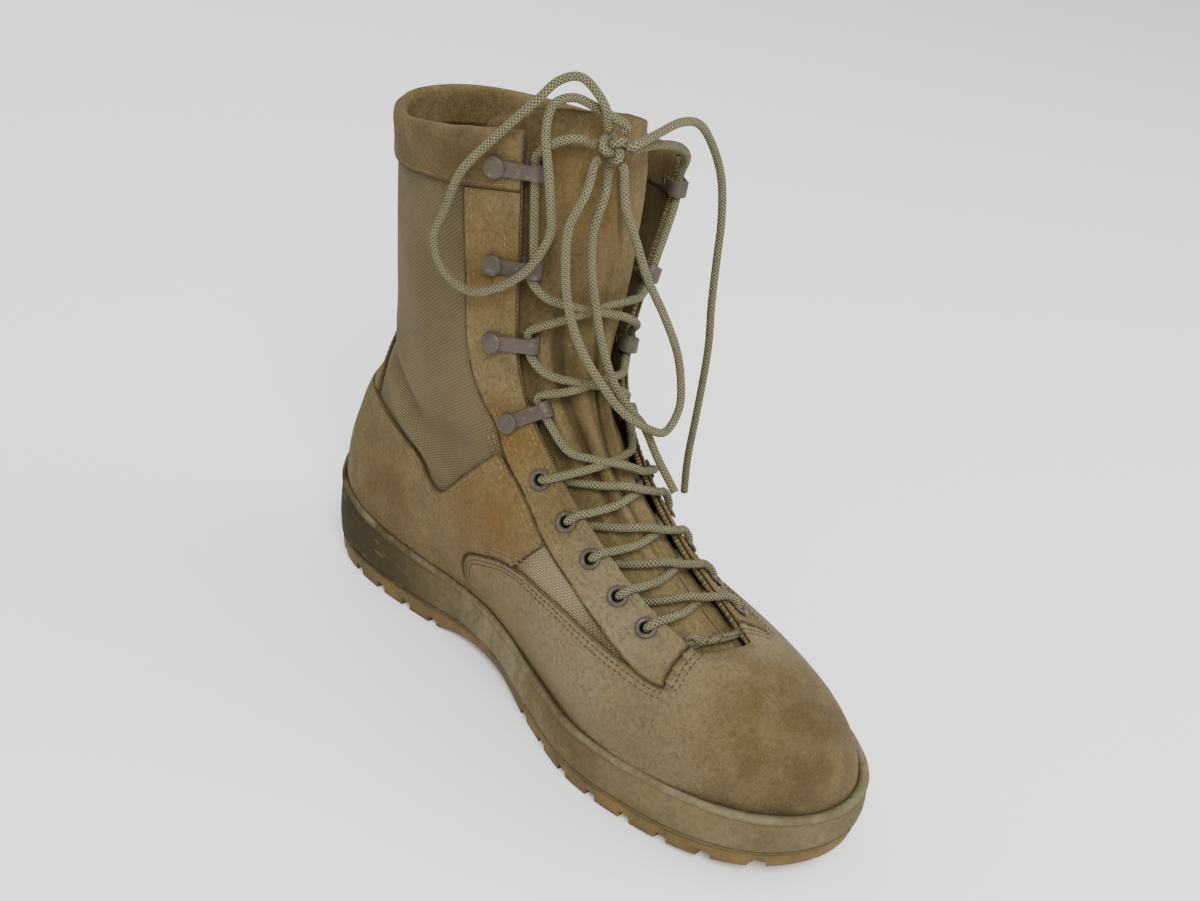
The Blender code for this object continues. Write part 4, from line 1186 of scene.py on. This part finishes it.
def build_outsole(looks):
    """Tread plate, cut into lugs by slanted grooves from side to side."""
    rows = sole_rows(sole_theta()[1])
    bottom = SIDEWALL_HEIGHT * rows[:, BOTTOM]
    parting = SIDEWALL_HEIGHT * rows[:, PARTING]
    rings = [sole_ring(deep, bottom + t * (parting - bottom)) for t, deep in OUTSOLE_PROFILE]
    made = sole_piece("outsole_rubber", rings, looks["tread"], "outsole")
    cutter = bmesh.new()
    slant = Matrix.Rotation(math.radians(8), 4, "X")
    size = Matrix.Diagonal((2 * BALL_WIDTH, GROOVE_WIDTH, 2 * LUG_DEPTH, 1.0))
    for first, last in TREAD_FLATS:
        for k in range(int((last - first) * LENGTH / GROOVE_PITCH) + 1):
            along = first + k * GROOVE_PITCH / LENGTH
            level = SIDEWALL_HEIGHT * float(sole_rows(along)[0, BOTTOM])
            place = Vector((0, (along - 0.5) * LENGTH, level)) + SHIFT
            bmesh.ops.create_cube(cutter, size=1.0,
                                  matrix=Matrix.Translation(place) @ slant @ size)
    tool = drawn_object("grooves", cutter)
    boolean(made, "DIFFERENCE", tool)
    bevel(made, 0.0005)
    apply_modifiers(made)
    bpy.data.objects.remove(tool)


def build_insole(looks):
    """Footbed with a raised rim."""
    theta, _ = sole_theta()
    inside = -WALL - 2 * GAP
    floor = height(theta, 0.0)
    rings = [shape(theta, floor, inside - inwards, creased=False) + [0, 0, rise]
             for inwards, rise in ((0.0, GAP), (0.0, 0.75 * INSOLE_THICKNESS),
                                   (0.0008, INSOLE_THICKNESS), (0.0040, 0.85 * INSOLE_THICKNESS))]
    sole_piece("insole_footbed", rings, looks["lining"], "insole")


def build_eyelets(looks):
    """Ten eyelets with a rolled flange outside and a barrel through the leather."""
    outside = OVERLAY + GAP + EYELET_SEAT
    inside = -WALL - EYELET_SEAT - EYELET_METAL
    bore = EYELET_BORE + 0.0002
    roll = [(bore + 0.0010 - 0.0010 * math.cos(a), outside + 0.0009 * math.sin(a))
            for a in np.linspace(0.1, math.pi, 9)]
    profile = ([(bore, inside)] + roll + [(bore + 0.0019, outside - 0.0003),
               (bore + 0.0003, outside - 0.0005), (bore + 0.0003, inside)])
    points, faces = lathe(profile)
    for side, word in SIDES:
        for number, share in enumerate(EYELETS, 1):
            place = fitting_frame(share, side, EYELET_SETBACK)
            spots = [place @ Vector(p) for p in points]
            piece(f"eyelet_ring_{word}_{number}", spots, faces, looks["metal"],
                  [f"eyelet_{word}_{number}"])


def hook_frame(share, side):
    """Matrix of a hook: X towards the throat, Y along its edge, origin on the flap."""
    place = fitting_frame(share, side, HOOK_EDGE)
    rim = place.inverted() @ skin(throat_edge(share, side), share)
    return place @ Matrix.Translation((rim.x - HOOK_EDGE, 0, 0))


def hook_strap():
    """Points and faces of a hook's strap: a leaf outside, a round loop and a leaf inside."""
    arc = [(HOOK_LOOP + HOOK_RADIUS * math.sin(a), HOOK_MIDDLE + HOOK_RADIUS * math.cos(a))
           for a in np.linspace(0, math.pi, 17)]
    outline = [(HOOK_END, HOOK_OUTSIDE), (HOOK_END, HOOK_TOP), *arc,
               (HOOK_EDGE - HOOK_LEAF, HOOK_BOTTOM), (HOOK_EDGE - HOOK_LEAF, HOOK_INSIDE),
               (HOOK_EDGE + HOOK_SLOT, HOOK_INSIDE), (HOOK_EDGE + HOOK_SLOT, HOOK_OUTSIDE)]
    bore = [(HOOK_LOOP + HOOK_BORE * math.cos(a), HOOK_MIDDLE + HOOK_BORE * math.sin(a))
            for a in np.linspace(0, 2 * math.pi, 24, endpoint=False)]
    rounding = 0.0003
    drawn = bpy.data.curves.new("strap_outline", "CURVE")
    drawn.dimensions = "2D"
    drawn.fill_mode = "BOTH"
    drawn.extrude = HOOK_WIDTH / 2 - rounding
    drawn.bevel_depth = rounding
    drawn.bevel_resolution = 2
    drawn.offset = -rounding
    for ring in (outline, bore):
        spline = drawn.splines.new("POLY")
        spline.points.add(len(ring) - 1)
        for point, place in zip(spline.points, ring):
            point.co = (*place, 0.0, 1.0)
        spline.use_cyclic_u = True
    carrier = add_object("strap_outline", drawn)
    depsgraph = bpy.context.evaluated_depsgraph_get()
    strap = bpy.data.meshes.new_from_object(carrier.evaluated_get(depsgraph))
    bpy.data.objects.remove(carrier)
    turn = Matrix.Rotation(math.pi / 2, 4, "X")
    places = (HOOK_END, HOOK_END + 0.6 * HOOK_LEAF, HOOK_EDGE, HOOK_LOOP - HOOK_BORE,
              HOOK_LOOP + HOOK_RADIUS)
    points = []
    for vertex in strap.vertices:
        x, z, y = vertex.co
        waist = np.interp(x, places, (1.0, 1.0, 0.66, 0.80, 1.15))
        points.append(turn @ Vector((x, z, y * waist)))
    return points, [tuple(p.vertices) for p in strap.polygons]


def hook_cap():
    """Points and faces of a hook's domed rivet cap."""
    dome = ((1.0, 0.45), (0.96, 0.72), (0.88, 0.88), (0.80, 0.93), (0.40, 0.99), (0.0, 1.0))
    foot = HOOK_OUTSIDE + 0.0001
    profile = [(0.0, foot), (RIVET_RADIUS, foot)]
    profile += [(wide * RIVET_RADIUS, HOOK_OUTSIDE + up * RIVET_RISE) for wide, up in dome]
    return lathe(profile, 28, (HOOK_END + 0.4 * RIVET_RADIUS, 0))


def hook_rivet():
    """Points and faces of the rolled end of a hook's rivet, inside the flap."""
    foot = HOOK_INSIDE + 0.0001
    roll = HOOK_BOTTOM - 0.0004
    profile = [(0.0012, foot), (0.0012, roll), (0.0017, HOOK_BOTTOM - 0.0006), (0.0022, roll),
               (0.0023, foot)]
    return lathe(profile, 20, (HOOK_EDGE - 0.55 * HOOK_LEAF, 0))


def build_hooks(looks):
    """Eight speed hooks: pressed strap with a round loop, and a domed rivet cap."""
    points = []
    faces = []
    for spots, shapes in (hook_strap(), hook_cap(), hook_rivet()):
        faces += moved(shapes, len(points))
        points += spots
    for side, word in SIDES:
        for number, share in enumerate(HOOKS, 1):
            place = hook_frame(share, side)
            made = piece(f"hook_strap_{word}_{number}", [place @ Vector(p) for p in points],
                         faces, looks["metal"], [f"hook_{word}_{number}"])
            made.data.set_sharp_from_angle(angle=math.radians(35))


def eyelet_holes():
    """Cutter for the barrels of the eyelets; the caller removes it."""
    drawing = bmesh.new()
    radius = EYELET_BORE + EYELET_METAL + GAP
    for side, _ in SIDES:
        for share in EYELETS:
            bmesh.ops.create_cone(drawing, cap_ends=True, segments=24, radius1=radius,
                                  radius2=radius, depth=HOLE_DEPTH,
                                  matrix=fitting_frame(share, side, EYELET_SETBACK))
    return drawn_object("eyelet_holes", drawing)


def tube(name, route, finish, nodes=(), radius=LACE_DIAMETER / 2, sides=14, spacing=0.0012):
    """Round cord along a route, with the directions of its braid stored on it."""
    path = even(flow(route, 10), spacing)
    tangents = np.gradient(path, axis=0)
    tangents /= np.linalg.norm(tangents, axis=1)[:, None]
    across = np.cross(tangents[0], [0.3, 0.5, 0.81])
    angles = 2 * math.pi * np.arange(sides) / sides
    points = []
    for spot, tangent in zip(path, tangents):
        across = across - tangent * (across @ tangent)
        across /= np.linalg.norm(across)
        other = np.cross(tangent, across)
        points.append(spot + radius * (np.cos(angles)[:, None] * across
                                       + np.sin(angles)[:, None] * other))
    made = piece(name, np.vstack(points), rod_faces(len(path), sides), finish, nodes)
    store(made, "along", np.repeat(np.arange(len(path)) * spacing, sides))
    store(made, "around", np.tile(np.abs(np.arange(sides) / sides - 0.5) * 2, len(path)))
    return made, path


def knot_side(angle, forward):
    """First two points of a cord at the knot's ball; angle turns from the lateral side up."""
    turn = math.radians(angle)
    way = (math.cos(turn) * KNOT_RIGHT + Vector((0, 0, math.sin(turn))) + forward * KNOT_AHEAD)
    return [KNOT + (KNOT_RADIUS + rise) * way.normalized() for rise in (GAP, 0.003)]


def eyelet_strand(side, number):
    """From an eyelet over the tongue, under the other flap and into its next eyelet."""
    low = EYELETS[number]
    high = EYELETS[number - 1]
    start = set_back(low, side, EYELET_SETBACK)
    near = throat_edge(low, side)
    far = throat_edge(high, -side)
    end = set_back(high, -side, EYELET_SETBACK)
    over = side > 0
    climbs = ((0.05, 0.30, 0.62, 0.78, 0.98, 1.12, 1.12, 1.06) if over else
              (0.03, 0.10, 0.26, 0.38, 0.62, 0.88, 1.03, 1.05))
    plan = [(start, 0.0, -.0010)]
    plan += zip((start + 0.08 * (near - start), start + 0.30 * (near - start),
                 start + 0.75 * (near - start), near + 0.06 * (far - near),
                 near + 0.26 * (far - near), near + 0.50 * (far - near),
                 near + 0.74 * (far - near), far), climbs,
                (0.0020, 0.0037, 0.0038, 0.0026, 0.0008, 0.0006, -.0016, -.0042) if over else
                (0.0020, 0.0037, 0.0038, 0.0026, -.0002, -.0022, -.0036, -.0042))
    plan += [(far + 0.5 * (end - far), 1.0, -.0044), (end - 0.06 * (end - far), 1.0, -.0040)]
    return [skin(theta, low + climb * (high - low), offset) for theta, climb, offset in plan]


def hook_strand(start, side, number, over):
    """From a fitting on one side up to the loop of a hook on the other."""
    share = HOOKS[number]
    place = hook_frame(share, side)
    theta0, share0 = start
    theta1 = set_ahead(share, side, HOOK_LOOP - HOOK_EDGE)
    share1 = share - 0.035
    climbs = (0.30, 0.52, 0.68, 0.82, 0.95) if side > 0 else (0.22, 0.40, 0.52, 0.62, 0.80)
    plan = zip((0.20, 0.38, 0.54, 0.72, 0.90), climbs,
               (0.0014, 0.0010, 0.0010, 0.0002, 0.0) if over else
               (0.0014, -.0014, -.0026, -.0022, -.0010))
    route = [skin(theta0 + t * (theta1 - theta0), share0 + climb * (share1 - share0), offset)
             for t, climb, offset in plan]
    up = -1 if side > 0 else 1
    return route + [place @ Vector((HOOK_LOOP + out, up * level, HOOK_MIDDLE))
                    for out, level in ((0.0004, -0.0055), (0.0, 0.0), (0.0004, 0.0055))]


def lace_half(side):
    """Half of the lace from its lowest eyelet to its top hook, through every fitting."""
    route = []
    for number in range(len(EYELETS) - 1, 0, -1):
        route += eyelet_strand(side, number)
        side = -side
    spot = (set_back(EYELETS[0], side, EYELET_SETBACK), EYELETS[0])
    near = throat_edge(EYELETS[0], side)
    for t, climb, offset in ((0.0, 0.0, -.0010), (0.08, 0.01, 0.0020), (0.30, 0.05, 0.0037),
                             (0.75, 0.14, 0.0038)):
        route.append(skin(spot[0] + t * (near - spot[0]), spot[1] + 0.06 * climb, offset))
    start = (near, EYELETS[0] + 0.012)
    for number in range(len(HOOKS) - 1, 0, -1):
        over = side > 0
        side = -side
        route += hook_strand(start, side, number, over)
        share = HOOKS[number] + 0.035
        start = (set_ahead(share, side, HOOK_LOOP - HOOK_EDGE), share)
    last = hook_frame(HOOKS[0], side)
    up = -1 if side > 0 else 1
    for level in (-0.0090, 0.0, 0.0060):
        route.append(last @ Vector((HOOK_LOOP, up * level, HOOK_MIDDLE)))
    return route


def build_laces(looks):
    """Lace through the fittings, the knot, and the bow."""
    halves = {1: lace_half(1), -1: lace_half(-1)}
    lowest = {side: set_back(EYELETS[-1], side, EYELET_SETBACK) for side in halves}
    routes = {}
    for side, route in halves.items():
        on_medial = (route[-1] - SHIFT).x < -0.02
        start = knot_side(180, -.2) if on_medial else knot_side(-5, -.5)
        lift = Vector((-0.001, -0.003, 0.005)) if on_medial else Vector((0.006, -0.003, 0.006))
        bridge = [route[-1].lerp(start[1], t) + lift * h for t, h in ((.2, .8), (.5, 1), (.8, .6))]
        routes[side] = route + bridge + [start[1], start[0]]
    bar = [skin(lowest[1], EYELETS[-1], -0.0040)]
    for t in np.linspace(0.0, 1.0, 9)[1:-1]:
        lift = -0.0044 + 0.0034 * math.sin(math.pi * t)
        bar.append(skin(lowest[1] + t * (lowest[-1] - lowest[1]), EYELETS[-1] - 0.008, lift))
    bar.append(skin(lowest[-1], EYELETS[-1], -0.0040))
    whole = routes[1][::-1] + bar + routes[-1]
    tube("lace_through_fittings", whole, looks["lace"], ["lace_crossings"])
    stop = bar[6]
    wrap = [stop + Vector((0.0022 * math.cos(a) * 0.7 + 0.0006 * a / 6, -0.0016 * math.cos(a),
                           0.0026 * math.sin(a))) + Vector((0.0, -0.0006, 0.0008))
            for a in np.linspace(0, 4.2 * math.pi, 22)]
    tube("lace_stop_knot", wrap, looks["lace"], spacing=0.0006, radius=0.0013)
    turns = []
    for k in range(40):
        a = 2 * math.pi * k / 40
        x = math.sin(a) + 2 * math.sin(2 * a)
        y = math.cos(a) - 2 * math.cos(2 * a)
        z = -math.sin(3 * a)
        turns.append(KNOT + (KNOT_RIGHT * x + Vector((0, 0, y))) * 0.0016
                     + KNOT_AHEAD * z * 0.0026)
    turns.append(turns[0])
    tube("lace_bow_knot", turns, looks["lace"], ["lace_knot"], spacing=0.0008)
    bow = (
        ("lace_loop_left", knot_side(112, 0), LOOP_LEFT, knot_side(70, 0), "object"),
        ("lace_loop_front", knot_side(222, .3), LOOP_FRONT, knot_side(300, .3), "object"),
        ("lace_end_front", knot_side(262, -.3), END_FRONT, [], "bare"),
        ("lace_end_side", knot_side(25, .6), END_SIDE, [], "bare"),
    )
    for name, start, middle, end, far_end in bow:
        route = [*start, *(Vector(p) + SHIFT for p in middle), *end[::-1]]
        made, path = tube(name + "_cord", route, looks["lace"], [name])


def beside_line(line, distance):
    """Line seen from the side, in metres, moved sideways by a distance."""
    metres = even(in_metres(line), 0.002)
    tangent = np.gradient(metres, axis=0)
    tangent /= np.linalg.norm(tangent, axis=1)[:, None]
    return metres + distance * np.column_stack([-tangent[:, 1], tangent[:, 0]])


def backstay_row(side):
    """Angles and heights of the stitches along one edge of the backstay."""
    z = np.linspace(0.430, 0.890, 60) * COLLAR_HEIGHT
    x = half_width(BACKSTAY[::-1], z) - 0.0022
    theta = np.full(len(z), side * 3.0)
    for _ in range(12):
        theta += side * (side * surface(theta, z)[:, 0] - x) / 0.045
    return theta, z


def stitch_rows():
    """Rows of stitches on the upper: their thread, angles and heights."""
    plans = (
        (VAMP_LINE, (.0026, .0046), "dark_thread"),
        (EYESTAY_LINE, (-.0024, -.0046), "thread"),
        (EYESTAY_LINE[4 * LEG:6 * LEG + 1], (.0022, .0044), "thread"),
        (QUARTER_LINE[1:5 * LEG + 4], (-.0022, -.0042), "thread"),
        (VAMP_LINE[2 * LEG + 2:4 * LEG - 2], (-.0030, -.0052), "thread"),
    )
    rows = []
    for side, _ in SIDES:
        for line, distances, kind in plans:
            for distance in distances:
                spots = beside_line(line, distance)
                rows.append((kind, side_angle(spots[:, 0], spots[:, 1], side), spots[:, 1]))
        for setback in (0.0030, 0.0056):
            shares = np.linspace(0.285, COLLAR_SEAM - 0.01, 110)
            theta = np.array([set_back(s, side, setback) for s in shares])
            rows.append(("thread", theta, height(theta, shares)))
    for theta in (np.linspace(-math.pi, throat_edge(COLLAR_SEAM, -1), 60),
                  np.linspace(throat_edge(COLLAR_SEAM, 1), math.pi, 60)):
        rows.append(("thread", theta, height(theta, COLLAR_SEAM + 0.010)))
    for side, _ in SIDES:
        rows.append(("thread", *backstay_row(side)))
    return rows


def bead(spots, out, radius, sides):
    """Points of one stitch: a short bead through three spots, thinner at its ends."""
    run = spots[2] - spots[0]
    run /= np.linalg.norm(run)
    across = np.cross(out, run)
    points = []
    for spot, size in zip(spots, (0.55, 1.0, 0.55)):
        for k in range(sides):
            a = 2 * math.pi * k / sides
            points.append(spot + radius * size * (math.cos(a) * across + math.sin(a) * out)
                          - out * radius * (1 - size) * 0.9)
    return points


def build_stitches(looks):
    """Every visible stitch as a short bead of thread, laid on the leather."""
    pitch = 0.0026
    half = 0.0009
    sides = 6
    lift = GAP + OVERLAY + 0.00008
    made = {"thread": ([], []), "dark_thread": ([], [])}
    for kind, theta, z in stitch_rows():
        points, faces = made[kind]
        line = shape(theta, z, lift)
        above = shape(theta, z, lift + 0.001) - line
        distances = walked(line)
        for middle in np.arange(pitch, distances[-1] - pitch / 2, pitch):
            spots = on_line(line, distances, middle + np.array((-half, 0.0, half)))
            out = on_line(above, distances, [middle])[0]
            out /= np.linalg.norm(out)
            faces += moved(rod_faces(3, sides), len(points))
            points += bead(spots, out, 0.00026, sides)
    for kind, (points, faces) in made.items():
        piece("seams_in_" + kind, points, faces, looks[kind])


def make_camera():
    """Camera in the photo's place, aimed at the boot, with the photo's lean."""
    spot = CAMERA + SHIFT
    low, high = cad_box
    target = Vector(((low.x + high.x) / 2, (low.y + high.y) / 2, AIM_HEIGHT))
    data = bpy.data.cameras.new("camera")
    made = add_object("camera", data)
    made.location = spot
    aim = (target - spot).to_track_quat("-Z", "Y").to_matrix().to_4x4()
    made.rotation_euler = (aim @ Matrix.Rotation(math.radians(LEAN), 4, "Z")).to_euler()
    data.sensor_width = 36
    data.lens = LENS
    data.clip_start = 0.01
    data.clip_end = 20
    bpy.context.scene.camera = made


def make_stage():
    """Pale floor and soft light."""
    floor = mesh_object("floor", [(-6, -6, 0), (6, -6, 0), (6, 6, 0), (-6, 6, 0)], [(0, 1, 2, 3)])
    paint = Finish("floor_paint", 0.9, specular=0.5)
    paint.bump([(paint.noise(30, 2), 0.0002)])
    floor.data.materials.append(paint.colour((0.95, 0.95, 0.95)))
    world = bpy.context.scene.world or bpy.data.worlds.new("world")
    bpy.context.scene.world = world
    world.use_nodes = True
    backdrop = world.node_tree.nodes["Background"]
    backdrop.inputs["Color"].default_value = (1.0, 1.0, 1.0, 1.0)
    backdrop.inputs["Strength"].default_value = 0.85
    lamps = (
        # place, size, power
        ((-0.7, -0.9, 1.3), 0.8, 36),
        ((0.9, -0.9, 1.1), 1.2, 14),
        ((0.2, 1.2, 1.2), 1.2, 10),
    )
    for number, (place, size, power) in enumerate(lamps):
        lamp = bpy.data.lights.new(f"soft_light_{number}", "AREA")
        lamp.size = size
        lamp.energy = power
        holder = add_object(f"soft_light_{number}", lamp)
        holder.location = place
        way = Vector((0, 0, 0.1)) - Vector(place)
        holder.rotation_euler = way.to_track_quat("-Z", "Y").to_euler()


def make_looks():
    """Every material of the boot."""
    return {
        "vamp": suede("suede_vamp", 0.78, (
            ((-0.015, -0.070, 0.065), 0.120, DUST, 0.75),
            ((-0.012, -0.124, 0.058), 0.054, BROWN, 0.9),
            ((0.004, -0.136, 0.048), 0.046, DARK, 0.42),
            ((-0.030, -0.140, 0.040), 0.034, DARK, 0.35),
            ((-0.040, -0.085, 0.052), 0.030, BROWN, 0.45),
            ((0.005, -0.094, 0.074), 0.024, (0.190, 0.156, 0.092), 0.7),
            ((-0.046, -0.050, 0.055), 0.040, DUST, 0.6),
        )),
        "quarter": suede("suede_quarter", 0.35, (
            ((-0.045, 0.012, 0.100), 0.034, ORANGE, 0.9),
            ((-0.040, 0.030, 0.080), 0.035, ORANGE, 0.5),
            ((-0.035, 0.100, 0.060), 0.046, BROWN, 0.9),
            ((-0.045, 0.050, 0.065), 0.026, TAN, 0.4),
        )),
        "eyestay": suede("suede_eyestay", 0.50, (
            ((-0.040, 0.010, 0.130), 0.026, ORANGE, 0.8),
            ((-0.044, 0.036, 0.200), 0.032, ORANGE, 0.6),
            ((-0.042, 0.030, 0.172), 0.018, TAN, 0.8),
            ((-0.038, -0.060, 0.090), 0.045, (0.180, 0.150, 0.092), 0.8),
        )),
        "collar": suede("suede_collar", 0.0, (
            ((-0.038, 0.080, 0.240), 0.040, DARK, 0.35),
            ((-0.040, 0.045, 0.244), 0.022, DARK, 0.6),
        )),
        "backstay": suede("suede_backstay", 0.25),
        "tongue": suede("suede_tongue", 0.25, (
            # The next two dark spots are painted shadow of the lace end and loop that hang in front
            # of the tongue
            ((-0.020, -0.010, 0.175), 0.022, DARK, 0.7),
            ((-0.005, -0.012, 0.150), 0.024, DARK, 0.5),
            ((-0.010, 0.005, 0.235), 0.030, ORANGE, 0.5),
            ((-0.015, -0.060, 0.105), 0.035, TAN, 0.7),
        ), fold_shading=True),
        "flap": suede("suede_flap_inside", 0.05, (
            ((0.040, 0.020, 0.200), 0.050, DARK, 0.35),
            ((0.045, 0.020, 0.235), 0.030, BROWN, 0.6),
        )),
        "nylon": nylon("nylon_weave"),
        "lining": lining("knit_lining"),
        "sidewall": sidewall_rubber("sidewall_rubber"),
        "tread": tread_rubber("tread_rubber"),
        "metal": painted_metal("painted_fittings"),
        "lace": braid("braided_lace"),
        "thread": thread("seam_thread", (0.205, 0.152, 0.074), (0.092, 0.064, 0.027)),
        "dark_thread": thread("dark_thread", (0.055, 0.040, 0.018), (0.030, 0.022, 0.010)),
    }


def build_overlays(looks, holes):
    """The leather overlays: vamp, quarter, both eyestays and the backstay."""
    outlines = overlay_outlines()
    seam = COLLAR_SEAM - RIM_INSET / COLLAR_HEIGHT
    ridge = -0.09 * BALL_WIDTH
    far = 2 * BALL_WIDTH
    below = np.linspace(0, THROAT_START, 20, endpoint=False)
    vamp_rings = np.concatenate([below, np.linspace(THROAT_START, 0.46, 16)])
    quarter_rings = np.concatenate([below, np.linspace(THROAT_START, 0.62, 28)])
    eyestay_rings = np.concatenate([below[14:], np.linspace(THROAT_START, seam, 70)])
    make_overlay("vamp", vamp_rings, *outlines["vamp"], -far, far, looks["vamp"])
    make_overlay("quarter", quarter_rings, *outlines["quarter"], -far, far, looks["quarter"])
    make_overlay("eyestay_medial", eyestay_rings, *outlines["eyestay"], -far, ridge,
                 looks["eyestay"], holes)
    make_overlay("eyestay_lateral", eyestay_rings, *outlines["eyestay"], ridge, far,
                 looks["eyestay"], holes)
    stay = [(-a, b) for a, b in BACKSTAY[::-1]] + list(BACKSTAY)
    make_overlay("backstay", np.linspace(0.34, seam, 50), stay, BACKSTAY[::-1], 0.2 * LENGTH,
                 LENGTH, looks["backstay"], plane="XZ")


def main():
    make_camera()
    make_stage()
    looks = make_looks()
    holes = eyelet_holes()
    build_upper(looks, holes)
    build_tongue(looks)
    build_overlays(looks, holes)
    bpy.data.objects.remove(holes)
    for build in (build_band, build_midsole, build_outsole, build_insole, build_eyelets,
                  build_hooks, build_laces, build_stitches):
        build(looks)


main()
